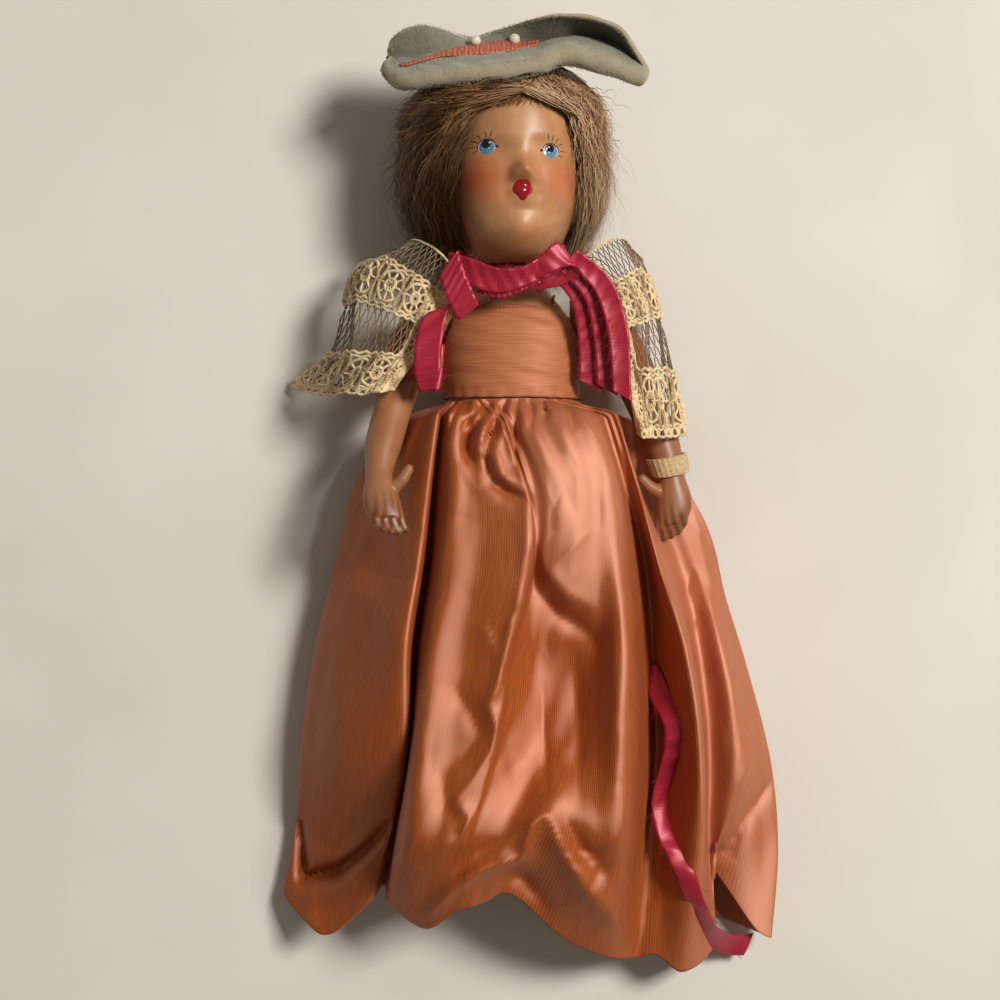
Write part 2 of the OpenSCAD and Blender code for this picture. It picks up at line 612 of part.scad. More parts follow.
// The folds of the skirt from the doll's left over the front to its right, crests and valleys as they come.
// Each has its place across and its height at four levels down to the hem, then how long it hangs: 0 is the
// drop over the feet and 1 the lowest point
skirt_levels = [0, 0.2, 0.45, 0.75, 1];
skirt_folds = [
    [[39.5, 5], [48, 8], [54.5, 6], [54.3, 4], 0.5],
    [[37, 6.5], [46, 14], [51.5, 12.5], [51, 5], 0.4],
    [[32, 8.5], [42, 16.5], [46.5, 20], [45.2, 8], -0.3],
    [[27.6, 11.5], [39.6, 18], [42, 14], [41.5, 7], 0.5],
    [[24, 25], [34.2, 30], [37.5, 27], [36, 13], 1],
    [[21.3, 25.5], [28.2, 22.5], [29.2, 20], [28, 16], 0.7],
    [[19.3, 36], [24, 38.5], [23, 38], [19, 31], 0.5],
    [[15, 37.5], [17, 38.5], [16, 41.5], [10, 37.5], 0.2],
    [[9.5, 38], [10.5, 39], [7.5, 42], [0, 38.5], -0.45],
    [[5.5, 36], [5, 37.5], [0, 40.5], [-6.5, 36.5], -0.3],
    [[2.5, 38], [0, 41], [-6.5, 42.5], [-11.5, 37.5], -0.2],
    [[-7, 35.5], [-9.5, 37.5], [-13.5, 42], [-17.5, 36], 0.1],
    [[-12, 36], [-15, 38.5], [-18.3, 41.5], [-23.3, 32.5], -0.2],
    [[-14.5, 26], [-17.6, 26], [-20.8, 25], [-25.8, 18], -0.3],
    [[-16.7, 26], [-20, 26], [-23.4, 25], [-28.2, 17.5], -0.3],
    [[-19.5, 33], [-22.9, 36], [-26.4, 32], [-31, 19], -0.2],
    [[-25, 24.5], [-30.5, 26], [-35.5, 21], [-38.5, 10], 0.4],
    [[-30, 17.5], [-37, 17], [-42, 13], [-44, 6], 0.3],
    [[-33.5, 8.5], [-40, 7], [-44.5, 5.5], [-46.8, 4], -0.25]];
fold_n = len(skirt_folds);
// Lines under the doll's back, which lie on the table
back_shares = [0.03, 0.35, 0.65, 0.97];
back_n = len(back_shares);
line_n = fold_n + back_n;
// Where a line leaves the waist seam
function waist_spot(k) =
    let (b = along(body_rows, waist_u),
         a = k < fold_n - 1 ? 180*k/(fold_n - 1) : 180 + 180*(k - fold_n + 1)/(back_n + 1),
         s = sin(a),
         grow = bodice_grow + lie_gap)
    [(b[1] + grow)*rounded(cos(a), 2.2), b[0], seam_z + ((s > 0 ? b[2] : b[3]) + grow)*rounded(s, 2.2)];
function front_line(k) =
    let (fold = skirt_folds[k],
         w = waist_spot(k),
         w_max = waist_spot(0)[0],
         hem = -mix(front_drop, back_drop, fold[4]))
    [for (i = [0:4])
        i == 0
        ? [1.25*w[0], waist_y, mix(seam_z, w[2], 1.05) - 6*pow(w[0]/w_max, 4)]
        : let (p = fold[i - 1], side = p[0] > 0 ? hem_left/56 : hem_right/47.6)
          [p[0]*side, mix(waist_y, hem, skirt_levels[i]), p[1]*hem_high/42.5]];
function back_line(k) =
    let (q = back_shares[k],
         right = front_line(fold_n - 1),
         left = front_line(0),
         short = 14*(1 - pow(2*q - 1, 2)))
    [for (i = [0:4])
        let (p = mix(right[i], left[i], q))
        [p[0], p[1] + short*pow(skirt_levels[i], 2), i == 0 ? waist_spot(k + fold_n)[2] - cloth_t : 0]];
skirt_lines = [for (k = [0:line_n - 1]) k < fold_n ? front_line(k) : back_line(k - fold_n)];
// A point of the skirt: u falls from waist to hem, k turns round the lines
function skirt_spot(u, k) =
    let (i = floor(k),
         row = function(n) along(skirt_lines[(n + line_n)%line_n], u),
         loose = along([row(i - 1), row(i), row(i + 1), row(i + 2)], (1 + k - i)/3),
         tight = waist_spot(k),
         p = mix([tight[0], loose[1], tight[2]], loose, ease(along(skirt_levels, u)*9 + 0.02)))
    [p[0], p[1], max(0, p[2])];
skirt_n = 11;
per_line = 3;
skirt_grid = [for (i = [0:skirt_n]) [for (j = [0:line_n*per_line - 1]) skirt_spot(i/skirt_n, j/per_line)]];
module skirt() {
    color(taffeta) cloth(skirt_grid, -cloth_t, true);
}
module skirt_streamer() {
    // It lies on the flank of the fold that hangs lowest
    side = 4*per_line + 1;
    strip = [for (i = [6:skirt_n]) [skirt_grid[i][side], skirt_grid[i][side + 1]]];
    color(satin) cloth(stand_off(strip, 0.6*lie_gap), ribbon_t);
}

// The two halves of the lace cape, from the neck down and from the front edge outward
function shoulder_net(rows) = [for (row = rows) [for (p = row)
    [p[0]*chest_w/27.6, shoulder_y + p[1]*trunk_len/42, seam_z + p[2]*belly_depth/12.6]]];
module right_lace() {
    rows = shoulder_net([
        [[-9, 7.2, 10.5], [-14, 10.6, 10.3], [-19, 13, 3], [-21, 12.4, -6]],
        [[-14.5, 2, 13.1], [-20, 4, 13.5], [-27, 6, 7], [-31, 6.5, -6]],
        [[-19, -7, 12.9], [-25, -6, 14.1], [-33, -5, 8], [-38, -5, -9]],
        [[-24.5, -14.5, 13.5], [-31, -15.5, 12.7], [-40, -15, -1], [-47, -13, -12.4]]]);
    g = net(rows, 7, 8);
    color(ecru) cloth(g, -lace_t);
}
module left_lace() {
    rows = shoulder_net([
        [[9, 7.2, 10.4], [16, 10.6, 10.2], [22, 13, 3], [25, 12.4, -6]],
        [[20, 2, 12.8], [24, 3.5, 12.8], [28.5, 4.5, 5], [31, 4, -7]],
        [[24, -9, 12.8], [28, -8.5, 12.8], [33.5, -8, 5], [36, -8, -8]],
        [[27, -24, 11.8], [31, -24.5, 11.8], [36.5, -24, 5], [39, -23, -7]]]);
    g = net(rows, 7, 8);
    color(ecru) cloth(g, lace_t);
}

band_r = neck_r + 1 + fit_gap;
module neck_ribbon() {
    y = chin_y - 0.35 - band_h;
    color(satin) translate([0, y, seam_z]) union() {
        rotate([-90, 0, 0]) rotate_extrude() translate([band_r, 0]) square([0.8, band_h]);
        hull() {
            translate([1.2, 0.5*band_h, band_r + 1.2]) sphere(r = 1.25, $fn = 10);
            translate([1.2, 0.35*band_h, band_r + 5.4]) sphere(r = 1.4, $fn = 10);
            translate([3.2, 0.35*band_h, band_r + 5.2]) sphere(r = 1.3, $fn = 10);
        }
    }
}
// Ribbon loops start at the knot
function from_knot(points) = [for (p = points) [0, chin_y - 2, seam_z + band_r] + p*ribbon_w/6.35];
module bow_left() {
    half = ribbon_w/2;
    loop = from_knot([[0.9, -0.4, 5], [-7, 0, 8.4], [-13, -2.4, 9.4],
        [-14.6, -5.4, 8.6], [-10, -4, 7.2], [0.9, -1.2, 4]]);
    wide = [[0.1, 0.4, 0.1], [0.2, 0.55, 0.1], [0.5, 0.85, 0],
        [0.5, 0.85, 0], [0.3, 0.7, 0], [0.1, 0.3, 0.1]];
    hang = from_knot([[-10.6, -4.6, 8.6], [-14.6, -9, 10.4], [-16.4, -17, 10.2],
        [-16.9, -22.8, 9.6], [-16.4, -22.4, 8.2],
        [-15.4, -14, 7.6]]);
    flat_side = [[0.6, 0.5, 0], [0.85, 0.2, 0], [0.85, 0.1, 0],
        [0.85, 0.1, 0], [0.85, 0.1, 0], [0.7, 0.2, 0]];
    color(satin) union() {
        cloth(strip(loop, half*wide, 14), ribbon_t);
        cloth(strip(hang, half*flat_side, 14), ribbon_t);
    }
}
module bow_right() {
    half = ribbon_w/2;
    loop = from_knot([[3.2, -0.4, 5], [8.6, 0, 8.6], [12.8, -0.9, 9.6],
        [12.6, -2.2, 8], [8, -2, 6.6], [3.2, -1.2, 4]]);
    wide = [[0, 0.4, 0.1], [-0.2, 0.5, 0.1], [-0.4, 0.7, 0], [-0.4, 0.7, 0], [-0.3, 0.6, 0], [0, 0.3, 0.1]];
    color(satin) union() {
        cloth(strip(loop, half*wide, 14), ribbon_t);
        for (k = [0:2]) {
            tail = from_knot([[12 + 0.8*k, -4.6 - 0.8*k, 6.6 + k], [15 + 0.9*k, -9, 7.6 + k],
                [17.6 + 1.2*k, -16, 7.4 + k],
                [19.2 + 1.2*k, -25 + 2*k, 7 + k]]);
            tail_side = [[0.7, 0.3, 0], [0.8, 0.4, 0], [0.8, 0.2, 0], [0.8, 0.2, 0]];
            cloth(strip(tail, half*tail_side, 8), ribbon_t);
        }
    }
}

lay() head_face();
lay() head_back();
lay() neck_hook();
lay() wig_cap();
lay() wig();
lay() felt_hat();
lay() hat_ribbon();
lay() hat_pins();
lay() torso_front();
lay() torso_back();
lay() arm_elastic();
lay() leg_elastic();
lay() left_arm();
lay() left_arm_hook();
lay() left_sleeve();
lay() wrist_band();
lay() right_arm();
lay() right_arm_hook();
lay() right_sleeve();
lay() left_leg();
lay() left_leg_hook();
lay() right_leg();
lay() right_leg_hook();
lay() bodice();
lay() back_snaps();
lay() skirt();
lay() left_lace();
lay() right_lace();
lay() neck_ribbon();
lay() bow_left();
lay() bow_right();
lay() skirt_streamer();
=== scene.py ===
# %% [markdown]
# # A hard plastic doll in a taffeta gown
# The CAD frame gives every piece its place: plastic shells, hooks, elastics and the rough forms of the
# clothes. This lesson dresses that frame. Each cell makes one piece as a surface worked out with numpy, and
# every piece rides on the CAD body that carries it, so that the doll can still turn its head and swing its
# arms.

# %% Load the frame
import bpy
import numpy as np
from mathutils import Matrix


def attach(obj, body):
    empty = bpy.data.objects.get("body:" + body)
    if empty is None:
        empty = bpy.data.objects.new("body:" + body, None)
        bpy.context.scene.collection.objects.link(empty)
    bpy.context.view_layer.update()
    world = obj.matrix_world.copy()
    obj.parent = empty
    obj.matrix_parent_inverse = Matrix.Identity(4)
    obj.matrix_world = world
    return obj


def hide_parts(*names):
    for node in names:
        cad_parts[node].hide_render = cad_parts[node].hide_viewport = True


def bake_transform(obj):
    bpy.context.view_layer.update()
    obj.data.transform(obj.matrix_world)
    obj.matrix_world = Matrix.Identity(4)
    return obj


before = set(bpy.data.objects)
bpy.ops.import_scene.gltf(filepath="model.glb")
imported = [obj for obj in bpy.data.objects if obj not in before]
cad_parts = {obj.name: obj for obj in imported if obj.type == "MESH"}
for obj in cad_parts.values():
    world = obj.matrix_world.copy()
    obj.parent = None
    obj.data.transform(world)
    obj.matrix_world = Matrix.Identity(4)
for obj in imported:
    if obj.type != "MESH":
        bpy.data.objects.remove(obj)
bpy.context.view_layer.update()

# %% [markdown]
# ## Camera, floor and light
# The doll lies on its back on a pale sheet and is seen from straight above. The camera hangs 500 mm over the
# middle of the picture, where one pixel spans 0.216 mm on the sheet. The light is one soft lamp from the
# doll's left, with a pale sky to fill the shadows.

# %% Measures of the picture
MM = 0.001
CAMERA_Z = 500.0  # height of the camera over the sheet, mm
PIXEL = 0.216  # what one pixel spans on the sheet, mm
MIDDLE = 500  # middle of the picture in pixels, across and down
UNDER_CAMERA = np.array([-2.4, 74.0])  # place in the doll's own frame that lies under the camera
LAY = np.array([-4.2, -74.35, 0.0])  # from the doll's own frame to the frame of the CAD model

# %% Colours and nodes
def ink(code):
    """Linear colour of an sRGB hex code: c / 12.92 for dark values, else ((c + 0.055) / 1.055) ^ 2.4."""
    c = np.array([int(code[k:k + 2], 16) for k in (1, 3, 5)]) / 255
    return (*np.where(c <= 0.04045, c / 12.92, ((c + 0.055) / 1.055) ** 2.4), 1.0)


def finish(name, sockets):
    """A new material whose shader has these constant socket values."""
    m = bpy.data.materials.new(name)
    m.use_nodes = True
    shader = m.node_tree.nodes["Principled BSDF"]
    for key, value in sockets.items():
        shader.inputs[key].default_value = value
    return m


def add(m, kind, inputs={}, **settings):
    """Adds one node: settings are its properties, inputs are values or the sockets that feed it."""
    node = m.node_tree.nodes.new(kind)
    for key, value in settings.items():
        setattr(node, key, value)
    for key, value in inputs.items():
        if isinstance(value, bpy.types.NodeSocket):
            m.node_tree.links.new(value, node.inputs[key])
        else:
            node.inputs[key].default_value = value
    return node


def feed(m, socket, source):
    """Links a node's output to a socket of the material's shader."""
    m.node_tree.links.new(source, m.node_tree.nodes["Principled BSDF"].inputs[socket])


def ramp(m, value, stops):
    """A colour ramp over a value: stops are (place, hex)."""
    node = add(m, "ShaderNodeValToRGB", {"Fac": value})
    bar = node.color_ramp.elements
    while len(bar) < len(stops):
        bar.new(0.5)
    for stop, (place, code) in zip(bar, stops):
        stop.position = place
        stop.color = ink(code)
    return node.outputs["Color"]


def noise(m, scale, **more):
    """Value of a cloudy noise over the object's own place, about 1 / scale metres from swell to swell."""
    place = add(m, "ShaderNodeTexCoord").outputs["Object"]
    return add(m, "ShaderNodeTexNoise", {"Vector": place, "Scale": scale, **more}).outputs["Fac"]


def tint(m, key, colour, code):
    """The colour mixed towards a hex code by the value that is stored at the points under key."""
    stored = add(m, "ShaderNodeAttribute", attribute_name=key).outputs["Fac"]
    return add(m, "ShaderNodeMixRGB", {"Fac": stored, "Color1": colour, "Color2": ink(code)}).outputs["Color"]


def emboss(m, height, strength, distance):
    """Gives the material's shader a bump from a height value; the distance is in metres."""
    bumps = add(m, "ShaderNodeBump", {"Height": height, "Strength": strength, "Distance": distance})
    feed(m, "Normal", bumps.outputs["Normal"])


# %% Camera, floor, lamp and sky
scene = bpy.context.scene
scene.view_settings.view_transform = "Standard"
lens = bpy.data.cameras.new("camera")
lens.sensor_width = 36
lens.lens = lens.sensor_width * CAMERA_Z / (2 * MIDDLE * PIXEL)
camera = bpy.data.objects.new("camera", lens)
camera.location = (*((UNDER_CAMERA + LAY[:2]) * MM), CAMERA_Z * MM)
scene.collection.objects.link(camera)
scene.camera = camera

# The sheet is thick cotton: a pale, slightly warm white that is a little cloudy
sheet_cotton = finish("cotton_sheet_plain", {"Roughness": 0.9})
cloud = noise(sheet_cotton, 14.0, Detail=3.0)
feed(sheet_cotton, "Base Color", ramp(sheet_cotton, cloud, [(0.3, "#DAD5CB"), (0.7, "#E3DFD6")]))
floor_mesh = bpy.data.meshes.new("floor")
floor_mesh.from_pydata([(-2, -2, 0), (2, -2, 0), (2, 2, 0), (-2, 2, 0)], [], [(0, 1, 2, 3)])
floor_mesh.materials.append(sheet_cotton)
floor = bpy.data.objects.new("floor", floor_mesh)
scene.collection.objects.link(floor)

lamp_data = bpy.data.lights.new("window_lamp", "AREA")
lamp_data.energy = 14.6
lamp_data.size = 0.3
lamp_data.color = ink("#FFFBF6")[:3]
lamp = bpy.data.objects.new("window_lamp", lamp_data)
lamp.location = (0.62, 0.34, 1.0)
lamp.rotation_euler = (-lamp.location).to_track_quat("-Z", "Y").to_euler()
scene.collection.objects.link(lamp)

sky = bpy.data.worlds.new("pale_sky")
sky.use_nodes = True
sky.node_tree.nodes["Background"].inputs["Color"].default_value = ink("#EFE4DA")
sky.node_tree.nodes["Background"].inputs["Strength"].default_value = 0.21
scene.world = sky
print("camera, floor, lamp and sky are set")

# %% [markdown]
# ## Curves, nets and meshes
# Every shape below is a curve through a short list of rows, or a net of control points. A Catmull-Rom curve
# passes through its points, so the lists can be read as measurements of the doll. Lengths are millimetres in
# the doll's own frame: x is 0 in the middle of the body, y is 0 at the soles and z is 0 on the sheet.

# %% Curves and nets
def spot(px, py, z):
    """Doll-frame point at a pixel and z above the sheet: a pixel spans PIXEL (1 - z / CAMERA_Z) mm there."""
    px, py, z = np.broadcast_arrays(np.asarray(px, float), np.asarray(py, float), np.asarray(z, float))
    s = PIXEL * (1 - z / CAMERA_Z)
    return np.stack([(px - MIDDLE) * s + UNDER_CAMERA[0], (MIDDLE - py) * s + UNDER_CAMERA[1], z], -1)


def pixel(p):
    """The pixel where a doll-frame point is seen, the inverse of spot."""
    s = PIXEL * (1 - p[..., 2] / CAMERA_Z)
    x, y = p[..., 0] - UNDER_CAMERA[0], p[..., 1] - UNDER_CAMERA[1]
    return np.stack([x / s + MIDDLE, MIDDLE - y / s], -1)


def lane(rows, u):
    """Catmull-Rom curve through the rows at u from 0 to 1: a cubic of the four rows round each place."""
    rows, u = np.asarray(rows, float), np.asarray(u, float)
    n = len(rows) - 1
    s = np.clip(u * n, 0, n - 1e-6)
    i = s.astype(int)
    f = (s - i).reshape(s.shape + (1,) * (rows.ndim - 1))
    a, b, c, d = rows[np.maximum(i - 1, 0)], rows[i], rows[i + 1], rows[np.minimum(i + 2, n)]
    return 0.5 * (2 * b + (c - a) * f + (2 * a - 5 * b + 4 * c - d) * f**2 + (3 * b - a - 3 * c + d) * f**3)


def drape(net, r, c):
    """Surface over a net of control points: Catmull-Rom weights of r times those of c times the points."""
    net = np.asarray(net, float)
    return np.einsum("...i,...j,ijk->...k", lane(np.eye(net.shape[0]), r), lane(np.eye(net.shape[1]), c), net)


def ease(t):
    """Smooth step: 3 t^2 - 2 t^3 between 0 and 1."""
    t = np.clip(t, 0, 1)
    return t * t * (3 - 2 * t)


def bump(d, s):
    """A bell of width s: exp(-d^2 / 2 s^2)."""
    return np.exp(-np.square(d) / (2 * s * s))


def rounded(c, p):
    """A cosine raised to the power 2 / p with its sign kept, which makes a superellipse."""
    return np.sign(c) * np.abs(c) ** (2 / p)


def mix(a, b, t):
    """Straight blend: a at t = 0, b at t = 1."""
    return a + (b - a) * t


def unit(v):
    """Vectors scaled to length 1."""
    return v / np.maximum(1e-9, np.linalg.norm(v, axis=-1, keepdims=True))


def mesh_grid(m, n):
    """Two parameters from 0 to 1 over m rows and n columns."""
    return np.meshgrid(np.linspace(0, 1, m), np.linspace(0, 1, n), indexing="ij")


# %% Meshes
def quads(m, n, wrap=False):
    """Corner numbers of the cells of a grid of m rows and n columns, closed round when wrapped."""
    i, j = np.meshgrid(np.arange(m - 1), np.arange(n if wrap else n - 1), indexing="ij")
    a, b = i * n + j, i * n + (j + 1) % n
    return np.stack([a, b, b + n, a + n], -1).reshape(-1, 4)


def piece(name, points, faces, body, material, replaces=(), about=None, uv=None, values=None, wall=0):
    """A mesh from points in mm: its faces are turned away from a middle point, and it rides on its body."""
    points = np.asarray(points, float).reshape(-1, 3)
    faces = np.asarray(faces)
    corners = points[faces]
    middle = points.mean(0) if about is None else np.asarray(about, float)
    normal = np.cross(corners[:, 1] - corners[:, 0], corners[:, 2] - corners[:, 0])
    if np.sum(normal * (corners.mean(1) - middle)) < 0:
        faces = faces[:, ::-1]
    mesh = bpy.data.meshes.new(name)
    mesh.from_pydata(((points + LAY) * MM).tolist(), [], faces.tolist())
    mesh.polygons.foreach_set("use_smooth", np.ones(len(faces), bool))
    if uv is not None:
        layer = mesh.uv_layers.new(name="cloth")
        layer.data.foreach_set("uv", np.asarray(uv, float).reshape(-1, 2)[faces.reshape(-1)].ravel())
    for key, value in (values or {}).items():
        stored = mesh.attributes.new(key, "FLOAT", "POINT").data
        stored.foreach_set("value", np.asarray(value, np.float32).ravel())
    mesh.materials.append(material)
    mesh.update()
    obj = bpy.data.objects.new(name, mesh)
    scene.collection.objects.link(obj)
    if wall:
        solid = obj.modifiers.new("wall", "SOLIDIFY")
        solid.thickness = wall * MM
        solid.offset = -1
    if body:
        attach(obj, body)
    if replaces:
        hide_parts(*replaces)
    print(name, len(points), "points", len(faces), "faces")
    return obj


def tubes(paths, radius, sides=5):
    """Round threads: a ring of points round every point of every path (k, m, 3), thin at both ends."""
    paths = np.asarray(paths, float)
    k, m = paths.shape[:2]
    along = unit(np.gradient(paths, axis=1))
    across = unit(np.cross(along, [0.31, 0.23, 0.92]))
    over = np.cross(along, across)
    a = np.linspace(0, 2 * np.pi, sides, endpoint=False)
    size = np.broadcast_to(radius, (k, m)).astype(float).copy()
    size[:, [0, -1]] *= 0.3
    ring = np.cos(a)[:, None] * across[:, :, None] + np.sin(a)[:, None] * over[:, :, None]
    points = paths[:, :, None] + size[:, :, None, None] * ring
    cells = quads(m, sides, True)
    return points.reshape(-1, 3), (cells[None] + (np.arange(k) * m * sides)[:, None, None]).reshape(-1, 4)


def strips(paths, sides):
    """Flat strands: each path (k, m, 3) widened by its half-width vectors to both sides."""
    k, m = paths.shape[:2]
    points = np.stack([paths - sides, paths + sides], 2)
    cells = quads(m, 2)
    return points.reshape(-1, 3), (cells[None] + (np.arange(k) * m * 2)[:, None, None]).reshape(-1, 4)


def join(*parts):
    """Several point and face lists as one."""
    starts = np.cumsum([0] + [len(p) for p, f in parts])
    return np.concatenate([p for p, f in parts]), np.concatenate([f + s for (p, f), s in zip(parts, starts)])


def millimetres(grid):
    """Lengths over a grid of points, across and down, for a cloth's UV map in mm."""
    over = np.linalg.norm(np.diff(grid, axis=1), axis=-1).mean(0)
    down = np.linalg.norm(np.diff(grid, axis=0), axis=-1).mean(1)
    u, v = np.concatenate([[0], np.cumsum(over)]), np.concatenate([[0], np.cumsum(down)])
    return np.stack(np.meshgrid(v, u, indexing="ij")[::-1], -1)


# %% [markdown]
# ## Flesh-coloured hard plastic
# The shells were injection moulded in cellulose plastic and sprayed with a satin flesh lacquer, with blush
# airbrushed on the cheeks. The eye sees an even tan with soft broad highlights, a faint cloudiness and, on
# the arms, a little grime that is darkened further as painted shade. The doll's right cheek gets extra blush
# as painted shade. Blush, and the grime with its painted shade, come from values stored at the points of
# the mesh.

# %% Flesh plastic
flesh = finish("hard_plastic_moulded_flesh",
               {"Roughness": 0.43, "Specular IOR Level": 0.45, "Coat Weight": 0.1, "Coat Roughness": 0.3})
cloudy = noise(flesh, 160.0, Detail=4.0, Roughness=0.6)
base = ramp(flesh, cloudy, [(0.3, "#AC7850"), (0.55, "#BC885D"), (0.75, "#C89569")])
# The blush colour is an orange brown; on the doll's right cheek it also serves as painted shade
rosy = tint(flesh, "blush", base, "#C2501E")
# Grime and painted shade: the arms are mixed towards a dark brown by a value stored at the points
feed(flesh, "Base Color", tint(flesh, "grime", rosy, "#66391F"))
# Orange peel of sprayed lacquer: about 0.7 mm from swell to swell, a few micrometres high
emboss(flesh, noise(flesh, 1400.0, Detail=1.0), 0.25, 0.00006)

# %% [markdown]
# ## Head
# The head was blown or moulded in a face half and a back half and cemented along the seam at the ears. Each
# level is a superellipse with its own depth before and behind the seam, and the features are soft bells added
# forward. The whole head is turned a little to the doll's left, about the upright axis of the neck.

# %% Head shell
CHIN, HEAD_H, SEAM = 123.0, 41.0, 15.0  # place of the chin, the head's height, and level of the side seam
HEAD_W, FACE, SKULL = 29.0, 20.5, 12.0  # the head's width, and its depth before and behind the seam
EYE_Y, MOUTH_Y = 144.7, 135.9  # heights of eyes and mouth
NECK_Y = 119.5  # where the head turns on the body
TURN = np.radians(6.0)  # how far the head is turned at rest
SQUARE = 2.15  # power of the head's superellipse: 2 is an ellipse, more is squarer
# Share of the head's height, half width, and depth before and behind the seam
head_rows = np.array([[0, 4, 4, 4], [.03, .27 * HEAD_W, .62 * FACE, .55 * SKULL],
                      [.12, .37 * HEAD_W, .86 * FACE, .70 * SKULL],
                      [.25, .455 * HEAD_W, .95 * FACE, .83 * SKULL],
                      [.38, .492 * HEAD_W, .975 * FACE, .92 * SKULL],
                      [.51, .5 * HEAD_W, .99 * FACE, .98 * SKULL], [.64, .492 * HEAD_W, 1.01 * FACE, SKULL],
                      [.77, .45 * HEAD_W, .96 * FACE, .95 * SKULL],
                      [.885, .36 * HEAD_W, .77 * FACE, .79 * SKULL],
                      [.965, .22 * HEAD_W, .46 * FACE, .48 * SKULL], [1, .2, .2, .2]])


def yawed(p):
    """Turned with the head about the upright axis through x = 0 in the seam."""
    x, z = p[..., 0], p[..., 2] - SEAM
    return np.stack([x * np.cos(TURN) + z * np.sin(TURN), p[..., 1],
                     SEAM - x * np.sin(TURN) + z * np.cos(TURN)], -1)


def relief(x, y):
    """Modelling of the face, added forward: bells for nose, cheeks, chin and lips, less the hollows."""
    nose = 3.2 * bump(x - 0.3, 1.3) * bump(y - EYE_Y + 4.4, 1.4)
    bridge = 0.6 * bump(x, 1.5) * bump(y - EYE_Y + 1.2, 2.6)
    wings = 1.0 * (bump(x - 1.7, 0.75) + bump(x + 1.7, 0.75)) * bump(y - EYE_Y + 5.3, 0.9)
    wings = wings - 0.5 * bump(x, 2.2) * bump(y - EYE_Y + 7.2, 0.7)
    cheeks = 0.9 * (bump(x - 7, 3.4) + bump(x + 7, 3.4)) * bump(y - MOUTH_Y - 3.4, 3.4)
    chin = 1.3 * bump(x, 2.6) * bump(y - CHIN - 5.2, 2.4)
    lips = 0.9 * bump(x, 1.8) * bump(y - MOUTH_Y, 1.9) - 0.35 * bump(x, 2.4) * bump(y - MOUTH_Y + 3.2, 0.9)
    corners = -0.45 * (bump(x - 3.2, 1.0) + bump(x + 3.2, 1.0)) * bump(y - MOUTH_Y + 0.2, 1.2)
    sockets = -0.9 * (bump(x - 6.5, 2.5) + bump(x + 6.5, 2.5)) * bump(y - EYE_Y - 0.2, 1.9)
    lids = 0.35 * (bump(x - 6.5, 2.4) + bump(x + 6.5, 2.4)) * bump(y - EYE_Y - 3.0, 0.9)
    return nose + bridge + wings + cheeks + chin + lips + corners + sockets + lids


def head_ring(u, a):
    """Half width, height and both depths at u, then the superellipse at the angle a, and the relief."""
    h = lane(head_rows, u)
    x = h[..., 1] * rounded(np.cos(a), SQUARE)
    y = CHIN + HEAD_H * h[..., 0]
    s = np.sin(a)
    z = np.where(s > 0, h[..., 2], h[..., 3]) * rounded(s, SQUARE) + np.maximum(s, 0) * relief(x, y)
    return np.stack([x, y, SEAM + z], -1)


table_u = np.linspace(0, 1, 4000)
table_y = CHIN + HEAD_H * lane(head_rows, table_u)[:, 0]


def face_at(x, y, lift=0.0):
    """The point of the face at x, y: the ring at that height, solved for z, raised by lift, then turned."""
    h = lane(head_rows, np.interp(y, table_y, table_u))
    c = np.sign(x) * np.minimum(1, np.abs(x) / h[..., 1]) ** (SQUARE / 2)
    s = np.sqrt(1 - c * c)
    return yawed(np.stack([x, y, SEAM + h[..., 2] * s ** (2 / SQUARE) + s * relief(x, y) + lift], -1))


HEAD_LEVELS, HEAD_SIDES = 260, 300
u, t = mesh_grid(HEAD_LEVELS, HEAD_SIDES + 1)
u = mix(u, ease(u), 0.3)
head = head_ring(u, 2 * np.pi * t)[:, :-1]
flat_x, flat_y = head[..., 0], head[..., 1]
front = head[..., 2] > SEAM
# Blush on the cheeks, chin and nose. The doll's right cheek, away from the lamp, gets more, partly as painted
# shade
blush_and_shade = front * (0.72 * bump(flat_x + 8.8, 3.4) * bump(flat_y - 138.6, 3.4)
                 + 0.5 * bump(flat_x - 8.0, 3.2) * bump(flat_y - 139.0, 3.4)
                 + 0.12 * bump(flat_x, 2.2) * bump(flat_y - CHIN - 5, 2)
                 + 0.16 * bump(flat_x, 1.6) * bump(flat_y - 140.4, 1.6))
# The neck is a turned spigot with a bead: radius and height over the joint
spigot = np.array([[4.4, -2.4], [4.4, 0.4], [5.3, 0.5], [5.4, 0.9], [5.3, 1.25], [4.4, 1.35], [4.4, 4.6],
                   [3.0, 4.6]])
ring_a = np.linspace(0, 2 * np.pi, 60, endpoint=False)
neck = np.stack([spigot[:, :1] * np.cos(ring_a), np.broadcast_to(NECK_Y + spigot[:, 1:], (8, 60)),
                 SEAM + spigot[:, :1] * np.sin(ring_a)], -1)
points, faces = join((yawed(head).reshape(-1, 3), quads(HEAD_LEVELS, HEAD_SIDES, True)),
                     (neck.reshape(-1, 3), quads(8, 60, True)))
blush_values = np.concatenate([blush_and_shade.ravel(), np.zeros(neck.size // 3)])
piece("head_shell", points, faces, "head", flesh, ("head_face", "head_back"),
      values={"blush": blush_values, "grime": 0.0 * blush_values})

# %% [markdown]
# ## Painted face
# Eyes, lashes and mouth were painted on by hand with enamel. Paint is a thin raised film, so each patch is a
# small disc or brush stroke laid on the face a few hundredths of a millimetre proud, with its own colour.
# The white dots in the eyes are painted highlights.

# %% Enamel paints
def enamel(name, dark, light, rough=0.18):
    """Brushed enamel: glossy, with a hand-laid coat's unevenness about 0.4 mm from streak to streak."""
    m = finish(name, {"Roughness": rough, "Coat Weight": 0.5, "Coat Roughness": 0.08})
    feed(m, "Base Color", ramp(m, noise(m, 2500.0), [(0.3, dark), (0.7, light)]))
    return m


